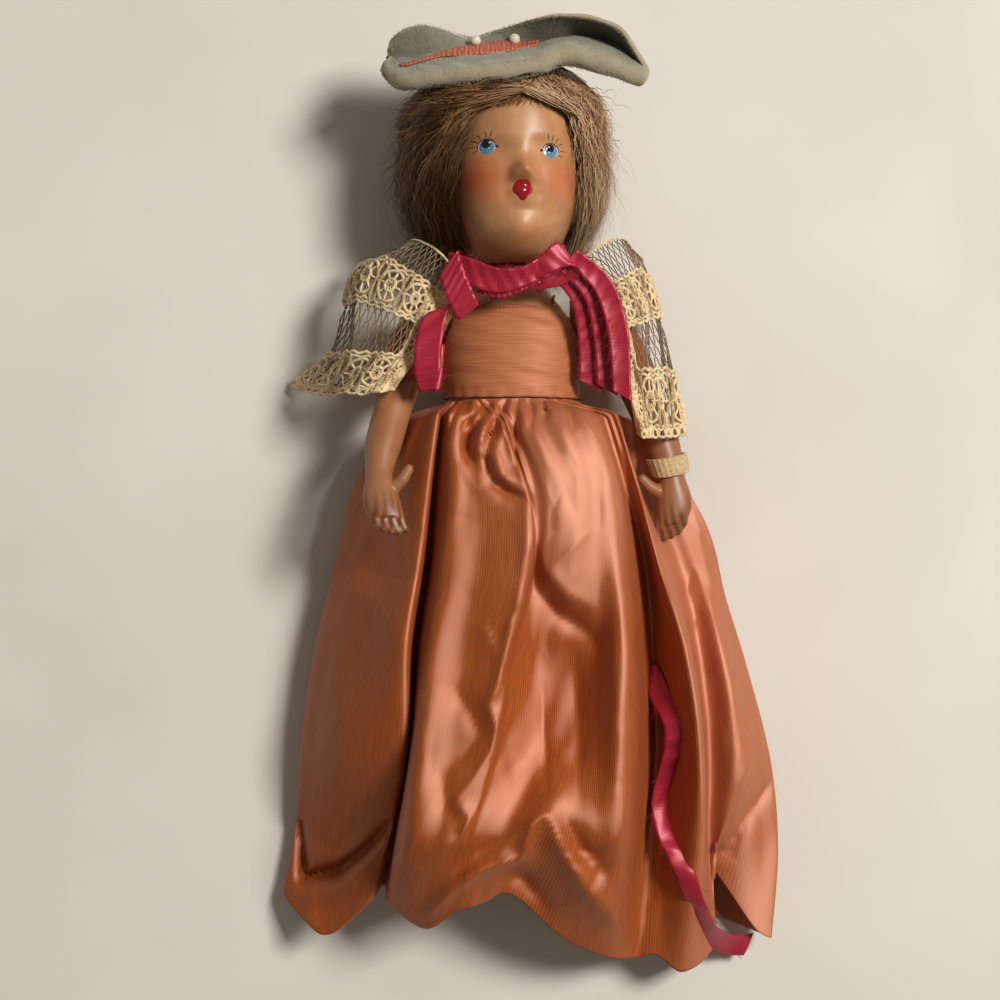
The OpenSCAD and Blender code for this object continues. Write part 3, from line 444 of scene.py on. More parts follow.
eye_white = enamel("enamel_brushed_white", "#C9C4BC", "#DAD5CE")
iris_blue = enamel("enamel_brushed_blue", "#3C6A90", "#6C9CBC")
pupil_black = enamel("enamel_brushed_black", "#0B0908", "#17120F", 0.1)
lash_brown = enamel("enamel_brushed_brown", "#2A1A12", "#4A2F20", 0.3)
lip_red = enamel("enamel_brushed_red", "#82060C", "#A80F16", 0.16)


def disc(cx, cy, rx, ry, lift, crown, rings=10, spokes=40, shape=None):
    """A round patch of paint: radius times cosine and sine, crowned by 1 - r^2, thin at its edge."""
    r, a = mesh_grid(rings, spokes + 1)
    r, a = r[:, :-1], 2 * np.pi * a[:, :-1]
    k = 1 if shape is None else lane(np.append(shape, shape[:1]), a / (2 * np.pi))
    x, y = cx + rx * k * r * np.cos(a), cy + ry * k * r * np.sin(a)
    return face_at(x, y, lift * (1 - r**6) + crown * (1 - r * r)).reshape(-1, 3), quads(rings, spokes, True)


def stroke(points, width, lift=0.08, n=24):
    """A brush stroke on the face along a curve, its half width falling to nothing at both ends."""
    t = np.linspace(0, 1, n)
    line = lane(points, t)
    side = np.stack([-np.gradient(line[:, 1]), np.gradient(line[:, 0])], -1)
    side = unit(side) * (width * np.sin(np.pi * np.clip(t * 0.86 + 0.08, 0, 1)) ** 0.7)[:, None]
    grid = line[:, None] + side[:, None] * np.linspace(-1, 1, 5)[:, None]
    raised = lift * (1 - np.linspace(-1, 1, 5)[None] ** 4)
    return face_at(grid[..., 0], grid[..., 1], raised).reshape(-1, 3), quads(n, 5)


# %% Eyes and mouth
BEFORE_AXIS = 19.0  # how far the painted face lies before the axis that the head turns on


def on_face(px, py):
    """Face coordinates of a pixel: the spot on the face, 19 mm before the turning axis, turned back."""
    p = spot(px, py, SEAM + BEFORE_AXIS)
    return np.stack([(p[..., 0] - BEFORE_AXIS * np.sin(TURN)) / np.cos(TURN), p[..., 1]], -1)


eyes = {"eye_whites": [], "irises": [], "pupils": [], "glints": [], "lashes": []}
# Pixel of each eye's middle, its side of the face, and the pixels of its lash tips
eye_places = [
    (487.4, 146.1, -1, [(475, 152), (470, 147), (473, 140), (478, 135), (485.5, 132.5), (491, 131.5)]),
    (551.2, 149.9, 1, [(563.6, 156), (567, 150), (564, 142), (559.5, 138), (554, 135), (548.5, 134)])]
for cx, cy, side, lash in eye_places:
    ex, ey = on_face(cx, cy)
    eyes["eye_whites"].append(disc(ex, ey - 0.1, 1.72, 1.3, 0.05, 0.10))
    eyes["irises"].append(disc(ex, ey - 0.12, 1.56, 1.36, 0.12, 0.16))
    eyes["pupils"].append(disc(ex - 0.1, ey + 0.28, 1.1, 1.06, 0.20, 0.14))
    # Two white dots in each eye: painted highlights
    eyes["glints"].append(disc(ex - 0.45 * side, ey + 0.7, 0.3, 0.26, 0.34, 0.06, 5, 16))
    eyes["glints"].append(disc(ex - 0.3 * side, ey - 0.35, 0.26, 0.22, 0.34, 0.05, 5, 16))
    a = np.radians(np.linspace(200, -12, 9) if side < 0 else np.linspace(192, -20, 9))
    lid = np.stack([ex + 1.75 * np.cos(a), ey + 0.05 + 1.42 * np.sin(a)], -1)
    eyes["lashes"].append(stroke(lid, 0.1, 0.2, 40))
    corner = on_face(cx - side * 11.4, cy + 0.4)
    eyes["lashes"].append(stroke([corner, mix(corner, [ex, ey], 0.3)], 0.26, 0.16))
    for tip in lash:
        tip = on_face(*tip)
        root = np.array([ex, ey + 0.1]) + 0.6 * (tip - [ex, ey + 0.1])
        bend = 0.5 * (root + tip) + 0.12 * np.array([-(tip - root)[1], (tip - root)[0]]) * side
        eyes["lashes"].append(stroke([root, bend, mix(root, tip, 1.12)], 0.085, 0.1))
paints = {"eye_whites": eye_white, "irises": iris_blue, "pupils": pupil_black, "glints": eye_white,
          "lashes": lash_brown}
for name, m in paints.items():
    points, faces = join(*eyes[name])
    piece(name, points, faces, "head", m, about=points.mean(0) - [0, 0, 20])
# One rosebud mouth: a heart-shaped patch, wider above, with its own low swell and a parting line
mx, my = on_face(522, 190.0)
bud = np.array([1, .96, .96, .92, .82, .92, .96, .96, 1, .9, .76, .88, 1.0, .88, .76, .9])
points, faces = disc(mx, my - 0.05, 2.1, 2.25, 0.08, 0.36, 14, 64, bud)
piece("mouth_paint", points, faces, "head", lip_red, about=points.mean(0) - [0, 0, 20])
smile = [(mx - 1.45, my + 0.5), (mx - 0.6, my + 0.05), (mx, my + 0.3), (mx + 0.6, my + 0.05),
         (mx + 1.45, my + 0.5)]
part_line, line_faces = stroke(smile, 0.1, 0.42)
piece("mouth_line", part_line, line_faces, "head", lash_brown, about=part_line.mean(0) - [0, 0, 20])

# %% [markdown]
# ## Arms and legs
# Each limb is one moulded piece: a smooth tapering form that ends in a mitten-like hand or a shoe. The long
# form is a stack of ellipses along a list of rows, and fingers are tapered capsules. A voxel remesh melts
# them into one skin with soft creases between the fingers, as the worn steel mould left them.

# %% Melting forms into one skin
def capsule(a, b, ra, rb, n=14, sides=20):
    """A round-ended bar from a to b: circles whose radius follows half circles past both ends."""
    a, b = np.asarray(a, float), np.asarray(b, float)
    axis = unit(b - a)
    length = np.linalg.norm(b - a)
    place_at = np.concatenate([ra * np.sin(np.linspace(-np.pi / 2, 0, n)),
                               length + rb * np.sin(np.linspace(0, np.pi / 2, n))])
    size = np.concatenate([ra * np.cos(np.linspace(-np.pi / 2, 0, n)),
                           rb * np.cos(np.linspace(0, np.pi / 2, n))])
    e = unit(np.cross(axis, [0.2, 0.3, 1]))
    f = np.cross(axis, e)
    t = np.linspace(0, 2 * np.pi, sides, endpoint=False)
    ring = np.cos(t)[:, None] * e + np.sin(t)[:, None] * f
    points = a + place_at[:, None, None] * axis + size[:, None, None] * ring
    return points.reshape(-1, 3), quads(2 * n, sides, True)


def melt(parts, voxel, rounds):
    """Voxel remesh of overlapping closed forms, then rounds of smoothing; gives points and faces back."""
    points, faces = join(*parts)
    mesh = bpy.data.meshes.new("melt")
    mesh.from_pydata(points.tolist(), [], faces.tolist())
    obj = bpy.data.objects.new("melt", mesh)
    scene.collection.objects.link(obj)
    grid = obj.modifiers.new("grid", "REMESH")
    grid.mode = "VOXEL"
    grid.voxel_size = voxel
    smooth = obj.modifiers.new("soft", "SMOOTH")
    smooth.factor = 0.5
    smooth.iterations = rounds
    done = bpy.data.meshes.new_from_object(obj.evaluated_get(bpy.context.evaluated_depsgraph_get()))
    co = np.empty(len(done.vertices) * 3, np.float32)
    done.vertices.foreach_get("co", co)
    corner = np.empty(len(done.loops), np.int32)
    done.loops.foreach_get("vertex_index", corner)
    bpy.data.objects.remove(obj)
    bpy.data.meshes.remove(mesh)
    bpy.data.meshes.remove(done)
    return co.reshape(-1, 3).astype(float), corner.reshape(-1, 4)


def stack(rows, n, sides, ring):
    """A closed form: rings at n levels, drawn to a point at both ends."""
    u = np.linspace(0, 1, n)
    g = ring(lane(rows, u), np.linspace(0, 2 * np.pi, sides, endpoint=False))
    ends = [np.broadcast_to(g[k].mean(0), (1, sides, 3)) for k in (0, -1)]
    return np.concatenate([ends[0], g, ends[1]]).reshape(-1, 3), quads(n + 2, sides, True)


# %% Arms
SHOULDER_X, SHOULDER_Y = 14.15, 111.0
# Height over the shoulder, the arm's middle across and forward, and its half width and half thickness
arm_rows = [[5.5, 4.8, 0, 1, 1.2], [4.3, 4.8, 0, 3.36, 3.84], [0, 4.8, 0, 4.8, 5.47], [-7, 7, 0, 4.66, 4.99],
            [-14, 9.3, .2, 4.22, 4.51], [-20, 11, .9, 4.03, 4.32], [-27, 12.6, 2.4, 3.84, 3.94],
            [-33, 13.4, 4.1, 2.9, 2.9], [-35.4, 13.4, 4.8, 2.85, 2.75], [-39, 13.1, 5.6, 3.7, 2.6],
            [-42, 12.5, 6.2, 3.8, 2.4], [-44, 11.8, 6.5, 3.2, 1.9]]


def arm_ring(r, a):
    """Ellipse of the row's half width and half thickness round its middle."""
    x, z = r[:, None, 1] + r[:, None, 3] * np.cos(a), r[:, None, 2] + r[:, None, 4] * np.sin(a)
    return np.stack([x, np.broadcast_to(r[:, None, 0], x.shape), z], -1)


def at_shoulder(p, side, swing, lean):
    """The arm's own frame leaned sideways, swung forward, put at the shoulder and mirrored for the right."""
    l, s = np.radians(lean), np.radians(swing)
    x = p[..., 0] * np.cos(l) - p[..., 1] * np.sin(l)
    y = p[..., 0] * np.sin(l) + p[..., 1] * np.cos(l)
    z = p[..., 2]
    return np.stack([side * (x + SHOULDER_X), SHOULDER_Y + y * np.cos(s) + z * np.sin(s),
                     SEAM - y * np.sin(s) + z * np.cos(s)], -1)


# Side, swing forward and lean outward of each arm at rest, in degrees
pose = {"left_arm": (1, -6, 10), "right_arm": (-1, 16, -1)}
for name, (side, swing, lean) in pose.items():
    hand = [stack(arm_rows, 70, 48, arm_ring)]
    for k in range(4):
        root = (12.6 + (k - 1.5) * 1.72, -41.2, 6.1)
        knuckle = (11.6 + (k - 1.5) * 1.66, -44.8 + 0.3 * abs(k - 1.3), 6.9)
        tip = (10.4 + (k - 1.5) * 1.5, -47.0 + 0.55 * abs(k - 1.3), 6.6)
        hand += [capsule(root, knuckle, 1.1, 1.0), capsule(knuckle, tip, 1.0, 0.85)]
    hand += [capsule((11.0, -37.8, 5.4), (8.6, -35.8, 6.4), 1.5, 1.25),
             capsule((8.6, -35.8, 6.4), (7.3, -33.8, 6.9), 1.25, 1.0)]
    points, faces = melt(hand, 0.26, 4)
    fall = points[:, 1]
    patchy = 0.5 + 0.5 * np.sin(points[:, 0] * 3.7 + points[:, 2] * 2.3)
    # Darker towards the wrist and hand: partly grime, partly painted shade on the hands
    dirt_and_shade = 0.35 * ease((-fall - 36) / 10) * patchy + 0.12 * ease((-fall - 10) / 25)
    points = at_shoulder(points, side, swing, lean)
    turn_a = np.linspace(0, 2 * np.pi, 40, endpoint=False)
    peg_x, peg_r = np.array([-1.9, -1.9, 3.5, 3.5])[:, None], np.array([0.1, 4.85, 4.85, 0.1])[:, None]
    peg = np.stack([np.broadcast_to(peg_x, (4, 40)), peg_r * np.cos(turn_a), peg_r * np.sin(turn_a)], -1)
    peg = at_shoulder(peg, side, swing, 0)
    points, faces = join((points, faces), (peg.reshape(-1, 3), quads(4, 40, True)))
    dirt_and_shade = np.concatenate([dirt_and_shade, np.zeros(peg.size // 3)])
    # Painted shade raises the darkening on both arms, and more on the doll's left arm, whose hand lies in
    # shade
    grime = np.clip((0.24 if side < 0 else 0.34) + 1.6 * dirt_and_shade, 0, 1)
    piece(name + "_skin", points, faces, name, flesh, (name,),
          values={"blush": 0.12 + 0 * dirt_and_shade, "grime": grime})

# %% Legs and shoes
HIP_X, HIP_Y = 10.15, 69.0
# Height over the hip, half width, and depth before and behind the leg's middle
leg_rows = [[6.4, 1, 1, 1], [4, 4.6, 5.5, 5.5], [0, 5.3, 6.8, 6.8], [-13.8, 5.19, 6.53, 6.6],
            [-31, 4.66, 5.44, 5.17], [-36.6, 4.56, 5.3, 4.9], [-47, 4.45, 4.76, 5.44],
            [-60, 3.3, 3.56, 3.8], [-67, 3.3, 3.8, 3.8]]


def leg_ring(r, a):
    """Ellipse with its own depth before and behind the leg's middle."""
    s = np.sin(a)
    x = r[:, None, 1] * np.cos(a)
    return np.stack([x, np.broadcast_to(r[:, None, 0], x.shape),
                     np.where(s > 0, r[:, None, 2], r[:, None, 3]) * s], -1)


# The moulded shoes are brushed with white enamel that has yellowed
shoe_white = enamel("enamel_brushed_ivory", "#CFC4AE", "#E2DAC8", 0.3)
for name, side in (("left_leg", 1), ("right_leg", -1)):
    points, faces = melt([stack(leg_rows, 60, 40, leg_ring)], 0.35, 3)
    points = points * [side, 1, 1] + [side * HIP_X, HIP_Y, SEAM]
    clean = 0 * points[:, 0]
    piece(name + "_skin", points, faces, name, flesh, (name,),
          values={"blush": clean + 0.08, "grime": clean})
    u, t = mesh_grid(26, 65)
    a = 2 * np.pi * t[:, :-1]
    rise = np.array([0, 0, .35, .5, .62, .75, .86, 1, 1, .97])
    size = np.array([0.05, .95, 1.0, 1.0, .97, .93, .86, .78, .74, .7])
    k, h = lane(size, u[:, :-1]), lane(rise, u[:, :-1])
    length = mix(7.5, 4.6, ease(h * 1.3))
    shoe = np.stack([k * 4.0 * rounded(np.cos(a), 2.3),
                     -HIP_Y + h * mix(7.8, 4.2, ease(0.5 + 0.5 * np.sin(a))),
                     mix(3.0, 0.2, ease(h * 1.1)) + k * length * rounded(np.sin(a), 2.3)], -1)
    shoe = shoe * [side, 1, 1] + [side * HIP_X, HIP_Y, SEAM]
    piece(name.replace("leg", "shoe"), shoe, quads(26, 64, True), name, shoe_white)

# %% [markdown]
# ## Taffeta
# The gown is a crisp shot taffeta, a coppery coral weft over a pinker warp. The pale pink where the cloth
# is turned to the light is a painted highlight, mixed into the colour by a value stored at the points. Its
# fine ribs are about 0.3 mm apart, which is near one pixel here, so they are drawn at 0.4 to 0.45 mm. The
# ribs follow the UV map, which is laid out in millimetres of cloth. The filaments are glossy, so the lit
# flanks of the folds shine pale, from the gloss and from the painted highlight, while the valleys fall to a
# deep brown red.

# %% Taffeta finish
WAVE_SCALE = 0.314  # a Wave texture of scale 1 has a period of 0.314 of its coordinate


def ribbed_cloth(name, stops, rib, rough, sheen_tint, gloss_tint, turned=False, painted_light_colour=None):
    """Woven cloth with fine ribs: a sine over the UV map whose period is rib mm, colour clouds and a bump.
    A painted highlight colour, where given, is mixed in by a value stored at the points."""
    m = finish(name, {"Roughness": rough, "IOR": 1.6, "Specular IOR Level": 0.7,
                      "Specular Tint": ink(gloss_tint), "Sheen Weight": 0.1, "Sheen Roughness": 0.3,
                      "Sheen Tint": ink(sheen_tint)})
    cloth_uv = add(m, "ShaderNodeUVMap", uv_map="cloth").outputs["UV"]
    wave = {"Vector": cloth_uv, "Scale": WAVE_SCALE / rib, "Distortion": 0.6, "Detail": 1.0,
            "Detail Scale": 0.6}
    ribs = add(m, "ShaderNodeTexWave", wave, bands_direction="Y" if turned else "X")
    along_ribs = (0.12, 0.9, 1) if turned else (0.9, 0.12, 1)
    stretch = add(m, "ShaderNodeMapping", {"Vector": cloth_uv, "Scale": along_ribs})
    slub = add(m, "ShaderNodeTexNoise", {"Vector": stretch.outputs["Vector"], "Scale": 1.6, "Detail": 3.0})
    blend = add(m, "ShaderNodeMath", {0: ribs.outputs["Fac"], 1: 0.3, 2: 0.2}, operation="MULTIPLY_ADD")
    mixed = add(m, "ShaderNodeMath", {0: slub.outputs["Fac"], 1: 0.45, 2: blend.outputs[0]},
                operation="MULTIPLY_ADD")
    colour = ramp(m, mixed.outputs[0], stops)
    if painted_light_colour:
        colour = tint(m, "flank", colour, painted_light_colour)
    feed(m, "Base Color", colour)
    emboss(m, ribs.outputs["Fac"], 0.22, 0.00006)
    return m


copper = [(0.3, "#84380F"), (0.55, "#9C4C1C"), (0.8, "#B2602E")]
taffeta = ribbed_cloth("taffeta_woven_shot_coral", copper, 0.45, 0.56, "#F0A8B4", "#FFC0A0", painted_light_colour="#E29E84")
# The bodice's ramp is a lighter copy of the skirt's: painted light, so that the bodice reads as lit
lightened_cross_copper = [(0.3, "#96502E"), (0.55, "#AE663E"), (0.8, "#C07A56")]
taffeta_cross = ribbed_cloth("taffeta_woven_cross_coral", lightened_cross_copper, 0.4, 0.54, "#F0A8B4", "#FFC8B8", True)

# %% [markdown]
# ## Skirt
# The skirt is a straight length of taffeta gathered into the waist seam. Over the doll it falls in a few
# broad pipes with deep narrow valleys between them, and at the hem it breaks over the toes and turns up at
# the sides. A cloth simulation would fold somewhere else, so the folds are listed: each guide line
# below runs from waist to hem along one ridge or valley, and a closed Catmull-Rom curve through all of them
# makes every level.

# %% Guide lines of the folds
# Each line has seven stations from waist to hem: pixel x, pixel y and height in mm
ridges_and_valleys = np.array([
    [(415, 402, 14), (358, 480, 9), (341, 545, 8), (318, 640, 7),
     (304, 735, 6), (298, 830, 5), (284, 886, 4)],
    [(420, 402, 20), (372, 485, 17), (356, 555, 18), (332, 650, 17),
     (316, 745, 15), (308, 838, 9), (306, 922, 11)],
    [(428, 401, 24), (395, 485, 24), (380, 560, 25), (362, 655, 26),
     (345, 750, 25), (338, 845, 14), (330, 934, 15)],
    [(440, 400, 28), (430, 470, 32), (419, 560, 35), (406, 645, 36),
     (404, 735, 34), (391, 812, 26), (372, 900, 21)],
    [(444, 401, 26), (435, 472, 25), (427, 562, 24), (415, 650, 24),
     (409, 742, 23), (397, 820, 21), (384, 886, 15)],
    [(452, 400, 29), (450, 475, 34.4), (441, 565, 37), (427, 655, 38),
     (416, 750, 39), (404, 840, 39), (390, 905, 23)],
    [(468, 400, 29), (478, 480, 36), (476, 570, 39), (464, 660, 39.2),
     (454, 750, 40), (440, 840, 42), (425, 929, 26)],
    [(490, 399, 29), (525, 500, 39), (525, 580, 42), (506, 655, 42),
     (493, 745, 42), (466, 830, 42.6), (456, 912, 32)],
    [(497, 399, 28.6), (533, 503, 38.4), (532, 582, 36.5), (515, 658, 38),
     (502, 747, 39), (480, 832, 41.5), (470, 908, 33)],
    [(505, 399, 28.5), (545, 488, 39.6), (546, 572, 38.3), (537, 660, 32.5),
     (534, 748, 34.5), (508, 838, 41), (484, 903, 31.5)],
    [(525, 398, 29), (562, 478, 39.6), (570, 570, 39.8), (562, 662, 32.5),
     (562, 750, 35.5), (547, 818, 43), (512, 895, 31)],
    [(560, 398, 29), (588, 476, 38), (596, 570, 38.4), (596, 664, 36),
     (592, 752, 39), (592, 845, 42), (562, 938, 24)],
    [(585, 399, 28), (612, 470, 35.4), (621, 560, 37.6), (628, 652, 41),
     (629, 750, 41), (625, 850, 39), (606, 957, 19)],
    [(598, 400, 25), (622, 485, 26), (640, 565, 24), (648, 655, 22),
     (650, 755, 21), (640, 860, 20), (634, 958, 13)],
    [(602, 400, 25), (629, 485, 25), (650, 565, 23), (660, 655, 22),
     (668, 755, 21), (662, 860, 19), (656, 955, 14)],
    [(610, 400, 26), (634, 470, 27), (660, 565, 32), (686, 650, 34),
     (700, 745, 33), (700, 850, 27), (684, 972, 13)],
    [(620, 401, 20), (642, 490, 11), (676, 565, 14), (697, 652, 18),
     (708, 745, 17), (708, 850, 12), (716, 940, 7)],
    [(624, 402, 17), (672, 496, 9), (700, 575, 14), (722, 655, 21),
     (735, 745, 21), (730, 815, 17), (707, 866, 9)],
    [(626, 403, 14), (692, 508, 8), (716, 590, 13), (735, 660, 16),
     (754, 748, 15), (762, 840, 9), (755, 928, 9)],
    [(628, 404, 12), (702, 520, 6), (724, 600, 8), (744, 665, 8),
     (769, 762, 7), (776, 850, 5), (769, 936, 6)]], float)
front_lines = spot(*np.moveaxis(ridges_and_valleys, -1, 0))
q = np.array([0.12, 0.3, 0.5, 0.7, 0.88])[:, None, None]
back_lines = mix(front_lines[-1], front_lines[0], q)
fall = np.linspace(0, 1, 7)
back_lines[..., 2] = mix(14, 0.7, ease(fall * 3))
back_lines[..., 1] += 14 * (fall**2) * bump(q[..., 0] - 0.5, 0.22)
guides = np.concatenate([front_lines, back_lines])
n_front, n_all = len(front_lines), len(guides)
print(n_all, "guide lines")


# %% Body under the clothes
# Height, half width, and depth before and behind the seam
body_rows = np.array([[60, .2, .2, .2], [61.4, 6.62, 6.3, 6.6], [68, 12.42, 10.58, 10.78],
                      [78, 13.8, 12.6, 11], [95, 13.5, 12.22, 10.23], [103, 13.8, 11.72, 10.67],
                      [111, 13.52, 9.83, 9.9], [115.8, 9.25, 7.31, 7.92], [119.5, 6.35, 6.35, 6.35]])
WAIST = 4 / 8  # place of the waist seam along these rows


def body_at(u, a, grow):
    """Superellipse of power 2.2 round the body at u along its rows, grown outward."""
    b = lane(body_rows, u)
    s = np.sin(a)
    depth = np.where(s > 0, b[..., 2], b[..., 3]) + grow
    x = (b[..., 1] + grow) * rounded(np.cos(a), 2.2)
    return np.stack([x, b[..., 0], SEAM + depth * rounded(s, 2.2)], -1)


# %% Skirt surface
def from_line(pix, line):
    """Distance in pixels from every point to a broken line, and the share of the way along it."""
    line = np.asarray(line, float)
    best = np.full(pix.shape[:-1], 1e9)
    share = np.zeros(pix.shape[:-1])
    for k, (a, b) in enumerate(zip(line[:-1], line[1:])):
        t = np.clip(np.sum((pix - a) * (b - a), -1) / np.sum((b - a) ** 2), 0, 1)
        d = np.linalg.norm(pix - a - t[..., None] * (b - a), axis=-1)
        share = np.where(d < best, (k + t) / (len(line) - 1), share)
        best = np.minimum(best, d)
    return best, share


# Creases: height in mm (valleys are negative), half width in pixels, and the line they follow
creases = [
    (1.3, 4, [(526, 499), (527, 521), (526, 546), (524, 577), (520, 597), (514, 616), (506, 649), (496, 690),
              (489, 704), (497, 728), (491, 752), (469, 783), (455, 799)]),
    (-2.4, 8, [(533, 560), (538, 590), (558, 614), (581, 628), (600, 645)]),
    (1.5, 8, [(535, 535), (545, 568), (566, 594), (590, 606)]),
    (-2.4, 4, [(484, 462), (493, 482), (508, 493), (526, 499)]),
    (1.4, 5, [(492, 452), (502, 474), (522, 490)]),
    (-2.0, 3.5, [(474, 420), (467, 438), (467, 456), (476, 466)]),
    (-2.2, 2.4, [(492, 401), (480, 418), (470, 437), (466, 448)]),
    (-2.3, 2.4, [(506, 401), (497, 420), (488, 440), (486, 458), (490, 470)]),
    (-2.1, 2.2, [(517, 400), (516, 420), (515, 440), (517, 464)]),
    (-1.6, 2.2, [(484, 402), (472, 416), (462, 428)]),
    (-1.4, 2.2, [(530, 400), (532, 416), (530, 430)]),
    (-1.2, 2.2, [(566, 400), (570, 412), (574, 426)]),
    (1.0, 3, [(499, 402), (487, 424), (477, 444)]),
    (1.0, 3, [(511, 401), (503, 424), (498, 446), (500, 462)]),
    (-1.8, 2.2, [(545, 399), (546, 410), (543, 420)]),
    (-1.4, 2.5, [(588, 399), (596, 414)]),
    (-1.2, 2.5, [(462, 402), (452, 418), (447, 436)]),
    (3.6, 8, [(550, 818), (562, 846), (588, 889), (624, 928)]),
    (3.2, 5, [(532, 823), (522, 857), (480, 869), (456, 886), (426, 914)]),
    (1.2, 5, [(500, 852), (520, 826), (540, 815), (552, 817)]),
    (-3.0, 8, [(566, 822), (580, 850), (606, 876)]),
    (-1.2, 6, [(512, 836), (480, 852), (452, 872), (424, 896)]),
    (-3.0, 8, [(500, 872), (524, 880), (545, 905)]),
    (1.3, 5, [(455, 799), (469, 816), (461, 839), (430, 853)]),
    (-1.0, 7, [(440, 770), (446, 800), (440, 815)]),
    (-1.2, 7, [(455, 690), (470, 712), (480, 735), (462, 760)]),
    (-1.2, 9, [(350, 566), (378, 572), (416, 580)]),
    (0.9, 9, [(345, 590), (375, 600), (398, 640)]),
    (-6, 4, [(300, 824), (304, 878), (336, 872), (366, 850), (390, 824)]),
    (2.6, 7, [(314, 900), (345, 884), (378, 850)]),
    (1.4, 5, [(306, 850), (340, 858), (372, 836)]),
    (-2.4, 4, [(774, 778), (746, 818), (729, 851), (706, 857)]),
    (1.0, 5, [(752, 735), (748, 765), (738, 790)]),
    (-0.7, 3, [(542, 687), (545, 750), (547, 806)]),
    (-1.2, 5, [(626, 862), (606, 868), (590, 884)]),
    (-1.0, 6, [(690, 622), (704, 614)]),
    (-1.0, 5, [(560, 850), (592, 855), (622, 852)]),
    (1.8, 9, [(612, 636), (616, 700), (616, 790)]),
    (-1.8, 9, [(574, 655), (580, 720), (578, 800)])]


LEVELS, PER_LINE = 150, 12  # levels from waist to hem, and points from one guide line to the next
FACETS = 150  # small creases at random places


def skirt_surface(rows, per):
    """Closed Catmull-Rom round the guides at every level, drawn in to the waist, with gathers and creases."""
    v = (np.linspace(0, 1, rows) ** 1.15)[:, None] * np.ones(n_all * per)
    c = np.ones((rows, 1)) * np.arange(n_all * per) / per
    closed = np.concatenate([guides[-1:], guides, guides[:2]])
    loose = drape(closed, (1 + c) / (n_all + 2), v)
    last = n_front - 1
    a = np.where(c <= last, np.pi * (1 - c / last), -np.pi * (c - last) / (n_all - last))
    tight = body_at(WAIST - 0.05 * v, a, 1.1)
    tight[..., 1] = loose[..., 1]
    cloth = mix(tight, loose, ease(v * 20 + 0.02)[..., None])
    pleat = np.sin(2.9 * c + 2 * np.sin(1.3 * c)) * 0.75 + 0.4 * np.sin(7.1 * c + 1)
    pleat = pleat * (0.6 + 0.8 * bump(c - 6, 2.5))
    cloth[..., 2] += (c < last) * (pleat + 2.6 * bump(c - 10.5, 3.5)) * bump(v - 0.08, 0.05)
    lift = np.zeros_like(v)
    pix = pixel(cloth)
    for height, width, line in creases:
        d, share = from_line(pix, line)
        lift += height * np.exp(-0.6 * (d / width) ** 1.4) * np.sin(np.pi * (0.12 + 0.76 * share))
    # Crisp cloth also breaks into small facets: short straight creases, mostly down the skirt
    loose_creases = np.random.default_rng(3)
    for k in range(FACETS):
        start = loose_creases.uniform((310, 430), (750, 930))
        lean = loose_creases.normal(0.1, 0.5)
        end = start + loose_creases.uniform(20, 80) * np.array([np.sin(lean), np.cos(lean)])
        d, share = from_line(pix, [start, end])
        height, width = loose_creases.normal(0, 0.26), loose_creases.uniform(3, 9)
        lift += height * np.exp(-d / width) * np.sin(np.pi * share)
    top = (c < last) * ease(c * 2) * ease((last - c) * 2)
    small = 0.12 * np.sin(c * 5.3 + v * 17 + 2 * np.sin(v * 9)) * np.sin(v * 23 + c * 1.7) * ease(v * 4)
    cloth[..., 2] += top * (lift + small)
    cloth[..., 2] = np.maximum(cloth[..., 2], 0.45)
    return cloth, v, c


skirt_grid, skirt_v, skirt_c = skirt_surface(LEVELS, PER_LINE)
# Painted highlight: the cloth is mixed to pale pink where it faces half way between lamp and camera, a
# little on its far flanks, on the pouch below the waist and down the doll's left side
cloth_normal = unit(np.cross(np.gradient(skirt_grid, axis=0), np.gradient(skirt_grid, axis=1)))
cloth_normal = cloth_normal * np.sign(cloth_normal[..., 2:])
half_way = [0.27, 0.15, 0.95]
flank = np.clip(4 * (cloth_normal @ half_way - 0.85), 0, 0.6) + np.clip(-cloth_normal[..., 0] - 0.8, 0, 0.12)
pouch = 0.3 * bump(skirt_c - 10.5, 2.2) * bump(skirt_v - 0.16, 0.14)
flank += pouch + 0.22 * ease(skirt_c - 14.5) * (skirt_c < n_front)
skirt = piece("skirt_taffeta", skirt_grid, quads(LEVELS, n_all * PER_LINE, True), "torso", taffeta,
              ("skirt",), about=(0, 40, 16), uv=millimetres(skirt_grid), wall=0.4, values={"flank": flank})

# %% [markdown]
# ## Bodice and sleeves
# The bodice is cut across the cloth, so its ribs run round the doll. It lies close on the body, opens at the
# armholes and snaps at the back. A row of hand stitches shows along the neckline.

# %% Bodice
u, t = mesh_grid(70, 201)
angle = 2 * np.pi * t[:, :-1]
top_u = mix(7.2, 6.62, ease((np.sin(angle) - 0.35) * 2.2)) / 8
level = mix(WAIST, top_u, u[:, :-1])
wrinkle = 0.14 * np.sin(level * 90 + 3 * np.sin(2 * angle)) * np.sin(3 * angle + 1)
wrinkle = wrinkle + 0.08 * bump(u[:, :-1], 0.05) * np.sin(26 * angle)
bodice_grid = body_at(level, angle, 0.86)
bodice_grid = bodice_grid + unit(bodice_grid - [0, 105, SEAM]) * wrinkle[..., None]
cells = quads(70, 200, True)
centre = bodice_grid.reshape(-1, 3)[cells].mean(1)
armhole = (np.hypot(centre[:, 1] - SHOULDER_Y, centre[:, 2] - SEAM) < 6.3) & (np.abs(centre[:, 0]) > 8)
bodice = piece("bodice_taffeta", bodice_grid, cells[~armhole], "torso", taffeta_cross, ("bodice",),
               about=(0, 105, SEAM), uv=millimetres(bodice_grid), wall=0.45)

